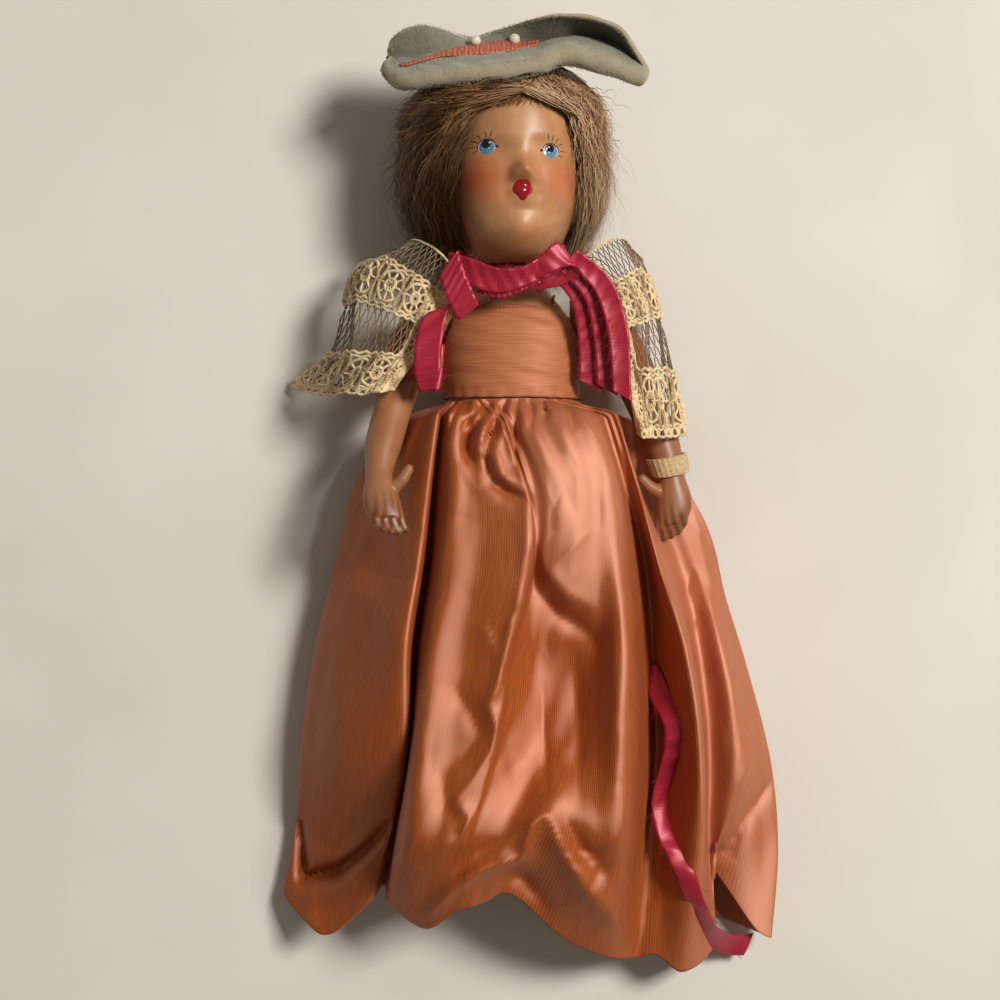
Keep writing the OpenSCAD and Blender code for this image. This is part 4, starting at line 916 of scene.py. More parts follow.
# Running stitches of cotton along the neckline seam, 1.5 mm long
thread_cotton = finish("cotton_thread_spun", {"Roughness": 0.8})
twist = noise(thread_cotton, 2000.0)
feed(thread_cotton, "Base Color", ramp(thread_cotton, twist, [(0.3, "#8E4A38"), (0.7, "#B77A63")]))
side_a = np.radians(np.linspace(55, 125, 22))[:, None] + np.radians(np.linspace(-1.2, 1.2, 6))
hop = body_at(6.5 / 8 + 0 * side_a, side_a, 0.9 + 0.22 * np.sin(np.linspace(0.1, np.pi - 0.1, 6)))
points, faces = tubes(hop, 0.13)
piece("neckline_stitches", points, faces, "torso", thread_cotton)

# %% Sleeves
for name, (side, swing, lean) in pose.items():
    u, t = mesh_grid(30, 101)
    a = 2 * np.pi * t[:, :-1]
    r = lane(arm_rows, mix(2.35, 3.95, u[:, :-1]) / 11)
    puff = np.sin(np.pi * u[:, :-1])
    grow = 0.55 + 0.55 * puff + 0.16 * np.sin(17 * a + 2 * u[:, :-1]) * (1 - 0.6 * puff)
    grid = np.stack([r[..., 1] + (r[..., 3] + grow) * np.cos(a), r[..., 0],
                     r[..., 2] + (r[..., 4] + grow) * np.sin(a)], -1)
    grid = at_shoulder(grid, side, swing, lean)
    sleeve = piece(name.replace("arm", "sleeve") + "_taffeta", grid, quads(30, 100, True), name,
                   taffeta, (name.replace("arm", "sleeve"),), uv=millimetres(grid), wall=0.35)

# %% [markdown]
# ## Lace cape
# Two straight lengths of heavy cotton bobbin lace are gathered over the shoulders: bands of wheels and
# leaves with looped picots, joined by plain six-sided net. At this size the threads can be real geometry.
# The pattern is drawn flat in millimetres as curves, laid on the draped surface, and every curve becomes a
# round thread.

# %% Cotton threads
def cotton(name, dark, light):
    """Spun cotton: dull, with dark hollows between fibres every half millimetre or so."""
    m = finish(name, {"Roughness": 0.85, "Sheen Weight": 0.25, "Sheen Roughness": 0.5})
    fibre = noise(m, 1500.0, Detail=3.0)
    feed(m, "Base Color", ramp(m, fibre, [(0.3, dark), (0.65, light)]))
    emboss(m, fibre, 0.5, 0.0001)
    return m


lace_cotton = cotton("cotton_bobbin_lace_ecru", "#C8A468", "#F2DFB6")
net_cotton = cotton("cotton_twisted_net_grey", "#5E4A30", "#947A54")
shoulder = np.array([0, SHOULDER_Y, SEAM])
capes = {"right_lace": ("right_arm", np.array([
    [[-9, 7.2, 10.5], [-14.5, 13.5, 12], [-20, 16.5, 7], [-25.5, 13.5, -3]],
    [[-14.5, 2, 13.1], [-20, 5, 14.3], [-28.5, 10, 8], [-33, 11, -6]],
    [[-19, -7, 12.9], [-25, -6, 14.1], [-33, -5, 8], [-38, -5, -9]],
    [[-24.5, -14.5, 13.5], [-31, -15.5, 12.7], [-40, -15, -1], [-47, -13, -12.4]]]) + shoulder),
    "left_lace": ("left_arm", np.array([
        [[9, 7.2, 10.4], [16.5, 14, 11.8], [22.5, 17, 7], [27.5, 13.5, -3]],
        [[19, 2, 12.8], [23.5, 4, 13.4], [28, 7, 6], [30, 7, -7]],
        [[23, -9, 12.8], [27, -8.5, 12.8], [31.5, -8, 5], [33.5, -8, -8]],
        [[26, -24, 11.8], [29.6, -24.5, 11.8], [34.5, -24, 5], [36.5, -23, -7]]]) + shoulder)}
WIDE, LONG = 28.0, 28.0  # the flat pattern in mm, across and down
PLAIN = 6.0  # plain net above the front border, mm


def lay_lace(net, flat, lift):
    """Flat pattern points (mm across, mm down) on the draped net, rippled and lifted along the normal."""
    c, r = np.clip(flat[..., 0] / WIDE, 0, 1), np.clip(flat[..., 1] / LONG, 0, 1)
    here = drape(net, r, c)
    e = 0.004
    normal = unit(np.cross(drape(net, r, np.minimum(c + e, 1)) - drape(net, r, np.maximum(c - e, 0)),
                           drape(net, np.minimum(r + e, 1), c) - drape(net, np.maximum(r - e, 0), c)))
    normal = normal * np.where(normal[..., 2:] < 0, -1, 1)
    ripple = 0.7 * np.sin(flat[..., 0] * 0.75 + 1.5 * np.sin(flat[..., 1] * 0.4)) * (0.3 + r)
    ripple = ripple + 0.6 * np.sin(flat[..., 1] * 1.1 + 0.5 * flat[..., 0]) * bump(c, 0.18)
    return here + normal * (lift + ripple)[..., None]


def band(y0, y1, pitch):
    """One lace band between two heights: wheels of eight spokes, leaves between, cords and picot loops."""
    mid, half = (y0 + y1) / 2, (y1 - y0) / 2
    n = int(WIDE / pitch)
    cx = (np.arange(n) + 0.5) * WIDE / n
    a = np.linspace(0, 2 * np.pi, 25)
    turn = np.stack([np.cos(a), np.sin(a)], -1)
    wheels = [np.stack([cx, np.full(n, mid)], -1)[:, None] + turn * (k * half) for k in (0.72, 0.3)]
    spoke_a = np.arange(8) * np.pi / 4
    ray = np.stack([np.cos(spoke_a), np.sin(spoke_a)], -1)[:, None]
    ray = ray * np.linspace(0.08, 0.74, 6)[:, None] * half
    spokes = (np.stack([cx, np.full(n, mid)], -1)[:, None, None] + ray[None]).reshape(-1, 6, 2)
    leaf = np.stack([0.30 * pitch * 0.45 * np.sin(a), 0.46 * half * np.cos(a)], -1)
    gaps = cx[:, None] + np.array([[-0.5, 0.5]]) * WIDE / n
    leaves = np.concatenate([np.stack([gaps.ravel(), np.full(gaps.size, mid + s * 0.5 * half)], -1)[:, None]
                             + leaf for s in (-1, 1)])
    x = np.linspace(0, WIDE, 90)
    cords = np.stack([np.stack([x, y0 + 0.15 * np.sin(3 * x)], -1),
                      np.stack([x, y0 + 0.6 + 0.15 * np.sin(3 * x + 2)], -1),
                      np.stack([x, y1 - 0.5 + 0.15 * np.sin(3 * x)], -1),
                      np.stack([x, y1 + 0.15 * np.sin(3 * x + 2)], -1)])
    t = np.linspace(0, 2 * np.pi * WIDE / 1.7, 420)
    loops = np.stack([1.7 * t / (2 * np.pi) - 0.62 * np.sin(t), y1 + 0.55 - 0.75 * np.cos(t)], -1)[None]
    return wheels, spokes, leaves, cords, loops


def net_lines(pitch):
    """Zigzag threads that touch their neighbours at every peak, which makes six-sided meshes."""
    rows = int(LONG / (0.86 * pitch))
    x = np.linspace(0, WIDE, int(WIDE / pitch * 6))
    k = np.arange(rows)[:, None]
    saw = np.clip(1.6 * np.sin(2 * np.pi * x / pitch + np.pi * k), -1, 1)
    return np.stack([np.broadcast_to(x, saw.shape), (k + 0.5 + 0.46 * saw) * LONG / rows], -1)


def border(pitch):
    """The front border, drawn along the front edge: tall picot loops between pairs of cords, and a zigzag."""
    t = np.linspace(2 * np.pi * PLAIN / pitch, 2 * np.pi * LONG / pitch, 400)
    down = pitch * t / (2 * np.pi)
    loops = np.stack([1.1 - 1.1 * np.cos(t), down - 0.3 * pitch * np.sin(t)], -1)
    zigzag = np.stack([4.1 - 0.9 * np.cos(t), down], -1)
    y = np.linspace(PLAIN, LONG, 90)
    cords = [np.stack([x + 0.15 * np.sin(3 * y + x), y], -1) for x in (2.2, 2.7, 5.1, 5.6)]
    return np.stack([loops, zigzag]), np.stack(cords)


for name, (arm, net) in capes.items():
    wheels, spokes, leaves, cords = band(6.6, 13.4, 4.7)[:4]
    wheels2, spokes2, leaves2, cords2, loops = band(19.8, 26.4, 5.6)
    edge_loops, edge_cords = border(2.1)
    neck_cords = np.stack([np.stack([np.linspace(0, WIDE, 90), np.full(90, q)], -1) for q in (0.1, 0.5)])
    threads = [(w, 0.38) for w in wheels + wheels2]
    threads += [(spokes, 0.27), (spokes2, 0.27), (leaves, 0.42), (leaves2, 0.42), (cords, 0.34),
                (cords2, 0.34), (loops, 0.3)]
    threads += [(edge_loops, 0.32), (edge_cords, 0.34), (neck_cords, 0.12)]
    points, faces = join(*[tubes(lay_lace(net, flat, 0.25 + 0 * flat[..., 0]), size)
                           for flat, size in threads])
    lace = piece(name + "_bobbin", points, faces, None, lace_cotton, (name,))
    flat_net = net_lines(1.6)
    points, faces = tubes(lay_lace(net, flat_net, 0 * flat_net[..., 0]), 0.14, 4)
    mesh_net = piece(name + "_net", points, faces, None, net_cotton)
    start, end = drape(net, 0.15, 0.15), drape(net, 0.75, 0.75)
    for cloth in (lace, mesh_net):
        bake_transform(cloth)

# %% [markdown]
# ## Ribbons
# The neck bow and the streamer are quarter-inch raspberry satin: a glossy weft face that shows cross
# streaks and goes pink in the light, with a thin woven edge that frays where it was cut. A ribbon is a
# strip carried along a path, with its half width as a second curve and a slight cup across it.

# %% Ribbon finish and strip
raspberry = [(0.3, "#86142A"), (0.6, "#A21C32"), (0.9, "#BC3648")]
satin = ribbed_cloth("satin_ribbon_woven_raspberry", raspberry, 0.3, 0.36, "#D98CA8", "#FFB4B8", True)


def ribbon(path, half, n=70, across=9, cup=0.12, seed=1):
    """Strip points: path plus the half-width curve from -1 to 1, cupped, with a little edge flutter."""
    t, w = mesh_grid(n, across)
    w = 2 * w - 1
    p, h = lane(path, t), lane(half, t)
    along = unit(np.gradient(lane(path, t[:, 0]), axis=0))[:, None]
    normal = unit(np.cross(along, h))
    flutter = 0.10 * np.sin(23 * t + seed) * w + 0.08 * np.sin(41 * t * (1 + 0.1 * seed) + 3 * w)
    return p + h * w[..., None] + normal * (cup * (w * w) + flutter)[..., None]


def frays(grid, seed, length, count=60):
    """Loose edge threads: short curls that leave both edges of a strip at random places."""
    r = np.random.default_rng(seed)
    n = grid.shape[0]
    rows = r.integers(1, n - 1, count)
    side = r.integers(0, 2, count)
    root = grid[rows, np.where(side, -1, 0)]
    out = unit(root - grid[rows, grid.shape[1] // 2])
    step = np.linspace(0, 1, 6)[None, :, None]
    onward = (grid[np.minimum(rows + 2, n - 1), 4] - grid[rows, 4])[:, None]
    drift = r.normal(0, 0.5, (count, 1, 3)) * step**2 + onward * step * 0.8
    reach = length * r.uniform(0.2, 1, (count, 1, 1))
    return tubes(root[:, None] + out[:, None] * step * reach + drift * length, 0.05, 3)


def ribbon_piece(name, grids, replaces):
    """Several strips as one piece with a thin wall, and their frayed threads as another, both on the body."""
    uv = np.concatenate([millimetres(g).reshape(-1, 2) for g in grids])
    points, faces = join(*[(g.reshape(-1, 3), quads(*g.shape[:2])) for g in grids])
    piece(name, points, faces, "torso", satin, replaces, about=points.mean(0) - [0, 0, 60],
          uv=uv, wall=0.22)
    fringe, fringe_faces = join(*[frays(g, 11 + k, 1.3) for k, g in enumerate(grids)])
    piece(name + "_frays", fringe, fringe_faces, "torso", satin, uv=0 * fringe[:, :2])


# %% Neck band and bow
def through(places):
    """Points of a ribbon's middle line from pixel x, pixel y and height."""
    return spot(*np.array(places, float).T)


a = np.radians(np.linspace(0, 360, 81))
around = np.stack([6.1 * np.sin(a), 0 * a, SEAM + 6.1 * np.cos(a)], -1)
band_grid = np.stack([around + [0, y, 0] for y in np.linspace(120.05, 122.6, 7)], 1)
cross = through([(448, 266, 30), (470, 272, 32), (497, 280, 33), (522, 277, 33.5), (545, 266, 33),
                 (566, 256, 31.5)])
tall = np.array([[0.3, 2.9, 0], [0.2, 2.8, 0.3], [0, 2.5, 0.6], [0, 2.0, 0.6], [-0.3, 2.3, 0.4],
                 [-0.4, 2.2, 0.2]])
under = through([(478, 284, 31.5), (500, 290, 32.2), (522, 284, 32.6), (542, 276, 32)])
low = np.array([[0.3, 1.6, 0.4], [0.1, 1.7, 0.5], [0, 1.4, 0.5], [-0.2, 1.2, 0.3]])
bow_band = [band_grid, ribbon(cross, tall, seed=5, cup=0.3), ribbon(under, low, seed=8)]
ribbon_piece("neck_band_satin", bow_band, ("neck_ribbon",))
# The doll's right: a flat turned-over piece, and a long loop that hangs from under it
flat_turn = through([(449, 262, 32.4), (454, 280, 33.4), (462, 299, 33.2), (469, 313, 32)])
flat_half = np.array([[1.9, 2.4, 0], [2.0, 2.3, 0.1], [2.1, 2.0, 0.2], [2.0, 1.6, 0.2]])
hang = through([(455, 303, 31), (437, 312, 32), (429, 340, 32.4), (427, 372, 32), (427, 390, 30.6),
                (429, 384, 29.2), (433, 345, 28.6)])
hang_half = np.array([[2.0, 1.5, 0], [2.5, 0.8, 0], [2.7, 0.2, 0.2], [2.6, 0, 0.2], [1.5, 0, 0], [2.5, 0, 0],
                      [2.4, 0.2, 0]])
ribbon_piece("bow_left_satin", [ribbon(flat_turn, flat_half, cup=0.05), ribbon(hang, hang_half, seed=2)],
             ("bow_left",))
# The doll's left: a peaked loop, and three tails that curve down side by side
peak = through([(528, 276, 32.6), (548, 262, 34), (564, 254, 33.6), (572, 262, 32), (560, 276, 31),
                (536, 284, 31)])
peak_half = np.array([[0, 1.4, 0.3], [-0.6, 2.2, 0.2], [-1.4, 2.4, 0], [-1.6, 2.2, 0], [-0.6, 1.8, 0.2],
                      [0, 1.2, 0.3]])
tail_places = [[(560, 268, 31), (583, 297, 28.6), (591, 340, 26.4), (590, 386, 25.4)],
               [(566, 262, 31.6), (594, 293, 29.8), (605, 338, 27.6), (607, 390, 26.6)],
               [(570, 256, 32.2), (602, 284, 31.4), (618, 332, 30.2), (622, 396, 29)]]
tail_half = np.array([[1.9, 1.6, 0], [2.3, 1.1, 0], [2.6, 0.3, -0.1], [2.3, -1.3, 0]])
tails = [ribbon(through(p), tail_half * (1 - 0.1 * k), seed=3 + k, cup=0.25)
         for k, p in enumerate(tail_places)]
ribbon_piece("bow_right_satin", [ribbon(peak, peak_half)] + tails, ("bow_right",))

# %% Streamer on the skirt
stream_px = np.array([(654, 664), (660, 693), (677, 720), (677, 748), (668, 776), (661, 803), (667, 832),
                      (680, 859), (691, 892), (704, 925), (724, 944), (749, 945)], float)


def top_of_skirt(px):
    """Highest skirt point within 4 pixels of each place, or the floor's level where the skirt ends."""
    pts = skirt_grid[:, : n_front * PER_LINE].reshape(-1, 3)
    seen = pixel(pts)
    d = np.linalg.norm(px[:, None] - seen[None], axis=-1)
    return np.where(d < 4, pts[None, :, 2], -1).max(1)


fine = lane(stream_px, np.linspace(0, 1, 34))
height = np.maximum(top_of_skirt(fine), 3.0)
for k in range(3):
    height = np.maximum(height, np.convolve(np.pad(height, 2, "edge"), np.ones(5) / 5, "valid"))
stream = spot(fine[:, 0], fine[:, 1], height + 0.8)
lean_w = np.stack([np.full(34, 1.0), 0.25 * np.sin(np.linspace(0, 7, 34)),
                   0.35 * np.sin(np.linspace(1, 9, 34))], -1)
breadth = lane(np.array([0.8, 2.6, 3.1, 2.8, 2.3, 2.0, 2.4, 2.7, 2.3, 2.4, 2.7, 2.6]), np.linspace(0, 1, 34))
lean_w[-6:, 1] = np.linspace(0.3, 2.2, 6)
ribbon_piece("streamer_satin", [ribbon(stream, unit(lean_w) * breadth[:, None], n=110, cup=-0.25, seed=6)],
             ("skirt_streamer",))

# %% [markdown]
# ## Felt hat
# The hat is a strip of sage felt bent into a boat: a low front rim, a trough along the crown and a back rim
# in two curls that pinch together behind the pins. The net has four rows, because the front edge lies lower
# than its rim. The felt is a closed skin carried round its thickness: over the top, round the cut edge and
# back underneath. The cut edge is paler than the face, and the whole front band is paled too as painted
# light. The inside of the trough and of the curl on the doll's left is darkened as painted shade.

# %% Felt
felt_wool = finish("wool_felt_pressed_sage",
                   {"Roughness": 0.95, "Sheen Weight": 0.5, "Sheen Roughness": 0.6,
                    "Sheen Tint": ink("#E8E6D6")})
# Matted fibres of about 0.5 mm, and broad clouds where the nap is rubbed
fibre = noise(felt_wool, 1800.0, Detail=5.0, Roughness=0.7)
clouds = noise(felt_wool, 170.0, Detail=3.0)
felt_sum = add(felt_wool, "ShaderNodeMath", {0: fibre, 1: clouds}, operation="ADD")
felt_mean = add(felt_wool, "ShaderNodeMath", {0: felt_sum.outputs[0], 1: 0.5}, operation="MULTIPLY")
face_colour = ramp(felt_wool, felt_mean.outputs[0], [(0.32, "#6E6B58"), (0.5, "#86836F"), (0.68, "#9A967F")])
# Painted shade darkens the inside of the trough and of the curl on the doll's left to a dark olive; the
# rubbed cut edge is pale, and painted light pales the front band as well
felt_shaded = tint(felt_wool, "hollow", face_colour, "#332F1C")
feed(felt_wool, "Base Color", tint(felt_wool, "rim", felt_shaded, "#AC9C80"))
emboss(felt_wool, fibre, 0.7, 0.0003)

# Pixel x, pixel y and height of the low front edge, the front rim, the trough and the back rim, along the hat
hat_places = np.array([
    [(386, 68, 26), (399, 82, 31), (432, 79, 33.2), (470, 76, 34.4), (507, 72, 35),
     (541, 66, 34.6), (562, 59, 33), (606, 70, 33), (643, 81, 31.8)],
    [(387, 65, 27), (403, 78, 32.4), (434, 75, 34.6), (470, 72, 35.8), (507, 69, 36.2),
     (538, 62, 35.6), (568, 52, 34.4), (610, 62, 33.6), (647, 79, 32.4)],
    [(388, 59, 24), (400, 60, 25.5), (432, 57, 27.5), (470, 56, 28.2), (505, 52, 27),
     (540, 45, 25.5), (575, 38, 23), (615, 46, 23), (648, 74, 28)],
    [(387, 55, 25.5), (392, 38, 26.5), (420, 27, 26.4), (470, 42, 22.8), (500, 33, 23.5),
     (540, 16, 28.9), (580, 13, 30.4), (622, 27, 32), (650, 70, 31.6)]], float)
hat_net = spot(*np.moveaxis(hat_places, -1, 0))


def hat_at(t, r):
    """A point of the felt's underside at t along the hat and r from front to back, and the normal there."""
    e = 0.004
    normal = unit(np.cross(drape(hat_net, r, np.minimum(t + e, 1)) - drape(hat_net, r, np.maximum(t - e, 0)),
                           drape(hat_net, np.minimum(r + e, 1), t) - drape(hat_net, np.maximum(r - e, 0), t)))
    return drape(hat_net, r, t), normal


def felt(r):
    """Thickness of the felt from front (0) to back (1)."""
    return mix(1.5, 1.0, ease((r - 0.45) * 4))


m_hat, n_flat, n_edge = 180, 60, 9
flat = np.linspace(0.02, 0.98, n_flat)
bow = np.linspace(-np.pi / 2, np.pi / 2, n_edge)
loop_r = np.concatenate([flat, 0.98 + 0.02 * np.cos(bow)[::-1], flat[::-1], 0.02 - 0.02 * np.cos(bow)])
loop_h = np.concatenate([np.ones(n_flat), np.sin(bow)[::-1], -np.ones(n_flat), np.sin(bow)])
t = np.linspace(0, 1, m_hat)
taper = np.sqrt(np.clip(1 - np.clip(1 - np.minimum(t, 1 - t) / 0.025, 0, 1) ** 2, 0.0004, 1))
tt, rr = np.meshgrid(t, loop_r, indexing="ij")
under, normal = hat_at(tt, rr)
dent = -0.7 * bump(tt - 0.555, 0.03) * bump(rr - 0.05, 0.12)
hat_skin = under + normal * (felt(rr) / 2 * (1 + taper[:, None] * loop_h) + dent
                             + 0.12 * np.sin(tt * 60 + 9 * rr) * np.sin(rr * 14))[..., None]
# Pale: the rubbed cut edges, and as painted light the whole front band from its low edge to the rim
pale_edge_and_light = np.maximum(np.maximum(bump(rr, 0.03), bump(1 - rr, 0.016)), bump(np.minimum(tt, 1 - tt), 0.02))
pale_edge_and_light = np.maximum(pale_edge_and_light, 0.6 * ease((0.36 - rr) * 9))
# Painted shade on the upper side: inside the curl on the doll's left, a dark line between front rim and
# trough, and the back half
felt_shade_values = (loop_h > 0) * (0.95 * ease((tt - 0.5) * 6) * bump(rr - 0.84, 0.22) + 0.6 * bump(rr - 0.5, 0.08)
                       + 0.3 * ease((rr - 0.5) * 8))
# Both ends are closed by a strip of faces from the upper side to the lower
k, low = np.arange(n_flat - 1), 2 * n_flat + n_edge - 1
end = np.stack([k, k + 1, low - 1 - k, low - k], -1)
hat_faces = np.concatenate([quads(m_hat, len(loop_r), True), end, end[:, ::-1] + (m_hat - 1) * len(loop_r)])
hat = piece("hat_felt", hat_skin, hat_faces, "head", felt_wool, ("felt_hat",),
            values={"rim": pale_edge_and_light, "hollow": np.clip(felt_shade_values, 0, 1)})
# Nap: short fibres that stand off the felt
NAP = 6000
r = np.random.default_rng(5)
ft, fr = r.uniform(0.05, 0.95, NAP), r.choice([0, 1], NAP) * 1.0
fr = np.where(r.uniform(0, 1, NAP) < 0.55, r.uniform(0, 1, NAP), np.abs(fr - r.uniform(0, 0.02, NAP)))
root, up = hat_at(ft, fr)
root = root + up * (0.98 * felt(fr))[:, None]
grow = up + r.normal(0, 0.8, (NAP, 3))
reach = np.linspace(0, 1, 3)[None, :, None] * r.uniform(0.2, 0.55, (NAP, 1, 1))
nap = root[:, None] + unit(grow)[:, None] * reach
side = unit(np.cross(np.gradient(nap, axis=1), [0.2, 0.4, 1.0])) * 0.035
points, faces = strips(nap, side)
# Painted shade on the fibres inside the curl on the doll's left; the other fibres are paled a little
nap_shade_values = np.repeat(0.9 * ease((ft - 0.5) * 6) * bump(fr - 0.84, 0.22), 6)
piece("hat_nap", points, faces, "head", felt_wool,
      values={"rim": 0.3 * (1 - nap_shade_values), "hollow": nap_shade_values})

# %% Hat ribbon and pins
braid = ribbed_cloth("rayon_braid_coral", [(0.3, "#8C3A2E"), (0.6, "#B05C45"), (0.9, "#C77C60")], 0.9, 0.5,
                     "#E0A090", "#FFD0C0", True)
t, w = mesh_grid(120, 9)
place_t = mix(0.12, 0.62, t)
r_mid = lane([0.44, 0.52, 0.63, 0.67, 0.66, 0.62], t)
spread = 0.085 * lane([0.25, 0.3, 0.35, 0.9, 1.2, 1.25, 1.0, 0.7], t)
spot_hat, up = hat_at(place_t, r_mid + (2 * w - 1) * spread)
weave = 0.18 * np.sin(t * 170 + 3 * np.abs(2 * w - 1)) * bump(t - 0.55, 0.2)
hat_strip = spot_hat + up * (felt(r_mid) + 0.45 + 0.5 * (1 - (2 * w - 1) ** 2) * bump(t - 0.55, 0.25)
                             + weave)[..., None]
piece("hat_ribbon_braid", hat_strip, quads(120, 9), "head", braid, ("hat_ribbon",),
      about=hat_strip.mean((0, 1)) - [0, -30, 60], uv=millimetres(hat_strip), wall=0.3)
pearl = finish("glass_pearl_lacquered_cream",
               {"Roughness": 0.16, "Coat Weight": 0.6, "Coat Roughness": 0.06, "Sheen Weight": 0.2})
feed(pearl, "Base Color", ramp(pearl, noise(pearl, 700.0), [(0.3, "#CDBFA6"), (0.7, "#E2D8C6")]))
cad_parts["hat_pins"].data.materials.clear()
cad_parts["hat_pins"].data.materials.append(pearl)

# %% [markdown]
# ## Mohair wig
# The wig is ash-brown mohair, glued to a cloth cap, parted on the forehead and brushed out in two full
# bunches. Mohair is fine, crimped and fuzzy. The strands are flat ribbons 0.16 mm wide that run from the
# parting down layered shells round the head, wave in clumps and end ragged, over an under-layer in the
# darkest tone, painted shade deep in the hair, so that no skin shows. The strands on the doll's left, the
# lamp's side, are lighter as painted light.

# %% Mohair finish
def mohair_finish(name, stops):
    """Goat hair: silky, with a colour for each strand from a stored value of tone and painted light, and soft
    gloss along its length.
    """
    m = finish(name, {"Roughness": 0.55, "Specular IOR Level": 0.25, "Sheen Weight": 0.06,
                      "Sheen Roughness": 0.4, "Sheen Tint": ink("#D9C9A4")})
    tone_and_light = add(m, "ShaderNodeAttribute", attribute_name="tone_and_light")
    grain = noise(m, 260.0, Detail=2.0)
    both = add(m, "ShaderNodeMath", {0: grain, 1: 0.35}, operation="MULTIPLY")
    total = add(m, "ShaderNodeMath", {0: tone_and_light.outputs["Fac"], 1: both.outputs[0]}, operation="ADD")
    feed(m, "Base Color", ramp(m, total.outputs[0], stops))
    return m


ash = [(0.12, "#321A06"), (0.42, "#64401E"), (0.72, "#946E48"), (1.0, "#C4A480")]
mohair = mohair_finish("mohair_brushed_ash_brown", ash)
STRAND = 0.08  # half width of a strand, mm
CURL_R, CURL_L, HAIR_BACK = 6.8, 3.3, 1.5  # fullness of the bunches and of the hair behind
# Share of the head's height, fullness right, left and behind, and the face opening in degrees
wig_rows = np.array([
    [.075, .9 * CURL_R, CURL_L, 1.1 * HAIR_BACK, 82], [.2, CURL_R, 1.05 * CURL_L, 1.1 * HAIR_BACK, 74],
    [.35, CURL_R, CURL_L, HAIR_BACK, 68], [.5, .97 * CURL_R, .95 * CURL_L, HAIR_BACK, 63],
    [.62, .95 * CURL_R, .97 * CURL_L, HAIR_BACK, 56], [.72, CURL_R, 1.05 * CURL_L, HAIR_BACK, 47],
    [.79, CURL_R, 1.1 * CURL_L, HAIR_BACK, 24], [.85, .95 * CURL_R, 1.2 * CURL_L, 1.2 * HAIR_BACK, 7],
    [1, .75 * CURL_R, 1.2 * CURL_L, 2 * HAIR_BACK, 5]])


def hair_at(v, c, depth):
    """Point of the hair: v from the ends (0) to the parting (1), c round the head from one edge of the face
    opening (0) behind to the other (1), depth from the cap (0) to the outside of the bunch (1)."""
    w = lane(wig_rows, v)
    a = np.radians(w[..., 4] + (360 - 2 * w[..., 4]) * c)
    k = np.interp(w[..., 0], head_rows[:, 0], np.linspace(0, 1, len(head_rows)))
    h = lane(head_rows, k)
    s, co = np.sin(a), np.cos(a)
    full = np.where(s > 0, w[..., 2], w[..., 1]) * depth + 1.4
    d = np.where(co > 0, h[..., 2] + mix(1.2, full, 0.35), h[..., 3] + w[..., 3] * depth + 1.2)
    y = CHIN + HEAD_H * h[..., 0] + 0.8 * ease(w[..., 0] * 6 - 5) * depth
    return np.stack([(h[..., 1] + full) * rounded(s, SQUARE), y, SEAM + d * rounded(co, SQUARE)], -1)


v, c = mesh_grid(50, 120)
v, c = mix(0.14, 1.0, v), mix(0.03, 0.97, c)
shell = np.concatenate([hair_at(v, c, 0.8 + 0 * v), hair_at(v, c, 0.0 * v)[:, ::-1]], 1)
# One more row at the crown's middle closes the top
shell = np.concatenate([shell, np.broadcast_to(shell[-1:].mean(1, keepdims=True), (1, 240, 3))])
# The under-layer takes the darkest tone: painted shade deep in the hair
piece("wig_under_layer", yawed(shell), quads(51, 240, True), "head", mohair, ("wig",),
      values={"tone_and_light": np.full(shell.shape[:2], 0.02)})


def strands(n, seed, c_low, c_high, d_low, d_high, wild, ragged=0.3):
    """Flat strands down the hair. Each keeps its place round the head, waves with its clump, winds in a crimp
    a few millimetres long, a sin(w t) across and a cos(w t) outward, and ends at its own level."""
    r = np.random.default_rng(seed)
    m = 34
    t = np.linspace(0, 1, m)[None]
    c = r.uniform(c_low, c_high, (n, 1))
    clump = np.floor(c * 60) + np.floor(r.uniform(0, 3, (n, 1))) * 70
    # A fast sine scrambles the clump's number into a phase of its own
    phase = np.sin(clump * 12.9898) * 43.0
    depth = r.uniform(d_low, d_high, (n, 1)) + 0.12 * np.sin(clump * 3.1)
    end = -0.02 + ragged * r.uniform(0, 1, (n, 1)) ** 2 + 0.05 * np.sin(clump * 7.7)
    v = np.clip(1 - t * (1 - end), 0, 1)
    sway = (0.024 * np.sin(9 * t + phase) + 0.014 * np.sin(19 * t + 2 * phase)) * np.minimum(1, 3 * t)
    path = hair_at(v, np.clip(c + sway, -0.05, 1.05), depth + 0.16 * np.sin(14 * t + 1.7 * phase) * t)
    out = unit(path - np.array([0, 0, SEAM]) * [1, 0, 1] - path * [0, 1, 0])
    across = unit(np.cross(np.gradient(path, axis=1), out))
    turns = r.uniform(14, 36, (n, 1)) * t + r.uniform(0, 6.28, (n, 1)) + 0.6 * phase
    crimp = r.uniform(0.12, 0.5, (n, 1)) * wild * np.minimum(1, 4 * t)
    path = path + across * (crimp * np.sin(turns))[..., None] + out * (0.7 * crimp * np.cos(turns))[..., None]
    loose = r.normal(0, 1, (n, 1, 3)) * wild * t[..., None] ** 2 * 0.9
    hang = -4.2 * np.clip(0.1 - v, 0, 1) * 10 * r.uniform(0, 1, (n, 1))
    path = path + loose + np.stack([0 * v, hang, 0 * v], -1)
    width = STRAND * (1 - 0.7 * t**3)
    side = unit(np.cross(np.gradient(path, axis=1), out)) * width[..., None]
    path = yawed(path)
    # No strand goes through the sheet below
    path[..., 2] = np.maximum(path[..., 2], 0.3)
    points, faces = strips(path, side)
    # Tone varies by clump and at random, and painted light makes strands lighter towards the doll's left, the
    # lamp's side
    lit = 0.3 + 0.16 * np.sin(clump * 5.3) + r.normal(0, 0.13, (n, 1)) + 0.32 * ease((0.5 - c) * 4)
    return points, faces, np.repeat(np.clip(lit, 0, 1), m * 2, axis=1).ravel()


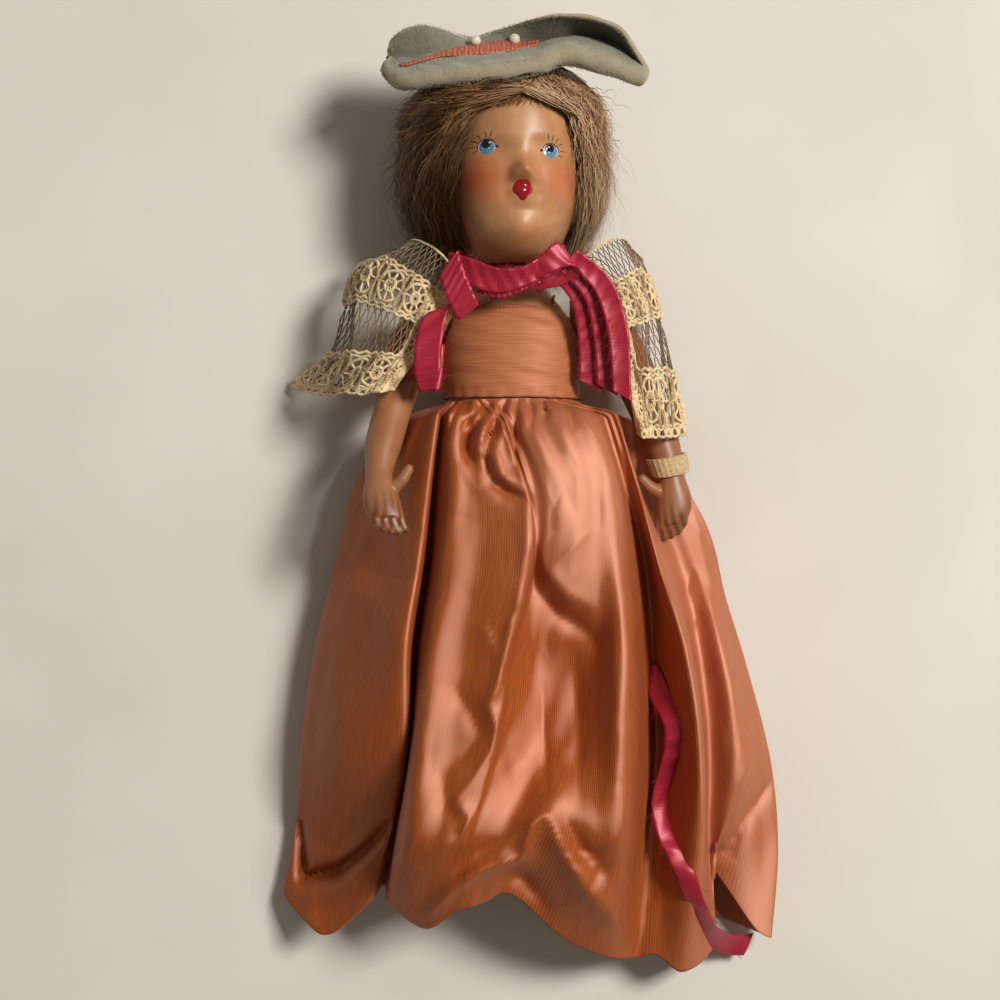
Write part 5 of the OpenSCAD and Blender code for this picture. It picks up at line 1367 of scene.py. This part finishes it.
# Strands, seed, place round the head, depth in the bunch, wildness and raggedness of the ends
bunches = {"wig_left_bunch": (2100, 21, 0.0, 0.34, 0.45, 1.02, 1.5),
           "wig_right_bunch": (2700, 22, 0.66, 1.0, 0.45, 1.02, 1.5),
           "wig_left_edge": (900, 26, -0.04, 0.06, 0.0, 1.0, 1.6),
           "wig_right_edge": (1100, 27, 0.94, 1.05, 0.0, 1.0, 1.6),
           "wig_back": (900, 23, 0.3, 0.7, 0.7, 1.0, 0.6),
           "wig_frizz": (1900, 25, 0.0, 1.0, 0.8, 1.12, 2.6, 0.7),
           "wig_flyaways": (340, 24, 0.0, 1.0, 0.95, 1.15, 4.0)}
for name, args in bunches.items():
    points, faces, tone_and_light = strands(*args)
    piece(name, points, faces, "head", mohair, values={"tone_and_light": tone_and_light})

# The fringe starts under the hat's front edge and is swept to both sides over the top of the forehead
r = np.random.default_rng(31)
n, m = 1500, 18
t = np.linspace(0, 1, m)[None]
x0 = r.uniform(-12, 12, (n, 1))
sweep = np.where(x0 < 2.5 + r.normal(0, 1, (n, 1)), -1, 1) * r.uniform(1.5, 6.5, (n, 1))
drop = r.uniform(4.5, 8.2, (n, 1)) + 0.16 * np.abs(x0)
turns = r.uniform(8, 22, (n, 1)) * t + r.uniform(0, 6.28, (n, 1))
x = np.clip(x0 + sweep * t**1.4, -14, 14) + 0.3 * np.sin(turns)
lift = r.uniform(0.5, 2.0, (n, 1)) * (1 - 0.6 * t) + 0.25 * np.cos(turns)
path = face_at(x, 161.2 - drop * t, lift)
side = unit(np.cross(np.gradient(path, axis=1), [0.1, 0.2, 1.0])) * (STRAND * (1 - 0.7 * t**3))[..., None]
points, faces = strips(path, side)
# Fringe tone varies at random and is lighter towards the doll's left as painted light
tone_and_light = np.clip(0.3 + r.normal(0, 0.14, (n, 1)) + 0.12 * ease(x0 / 8), 0, 1)
piece("wig_fringe", points, faces, "head", mohair, values={"tone_and_light": np.repeat(tone_and_light, m * 2, axis=1)})

# %% [markdown]
# ## Small things
# The wrist band is a strip of cream elastic tape. The wire hooks, the stringing elastic, the snaps, the wig
# cap and the body shells keep their CAD shapes and only get the finish of what they are made of.

# %% Wrist band
side, swing, lean = pose["left_arm"]
tape = cotton("elastic_tape_woven_cream", "#B09468", "#CDB488")
u, t = mesh_grid(16, 81)
a = 2 * np.pi * t[:, :-1]
r = lane(arm_rows, mix(6.5, 7.5, u[:, :-1]) / 11)
grow = 0.75 + 0.35 * np.sin(np.pi * u[:, :-1]) ** 0.5 + 0.1 * np.sin(22 * a)
band_grid = at_shoulder(np.stack([r[..., 1] + (r[..., 3] + grow) * np.cos(a), r[..., 0],
                                  r[..., 2] + (r[..., 4] + grow) * np.sin(a)], -1), side, swing, lean)
piece("wrist_band_tape", band_grid, quads(16, 80, True), "left_arm", tape, ("wrist_band",), wall=0.5)

# %% Finishes of the CAD nodes that stay
steel = finish("steel_wire_drawn", {"Metallic": 1.0, "Roughness": 0.35})
feed(steel, "Base Color", ramp(steel, noise(steel, 900.0), [(0.3, "#7C7C80"), (0.7, "#A5A6A8")]))
elastic = cotton("rubber_elastic_braided_cream", "#B7A98C", "#D8CCB2")
cap_cloth = cotton("buckram_woven_brown", "#3A2E20", "#55452F")
bare_nodes = {"torso_front": flesh, "torso_back": flesh, "neck_hook": steel, "left_arm_hook": steel,
              "right_arm_hook": steel, "left_leg_hook": steel, "right_leg_hook": steel,
              "arm_elastic": elastic, "leg_elastic": elastic, "wig_cap": cap_cloth, "back_snaps": steel}
for node, m in bare_nodes.items():
    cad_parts[node].data.materials.clear()
    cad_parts[node].data.materials.append(m)
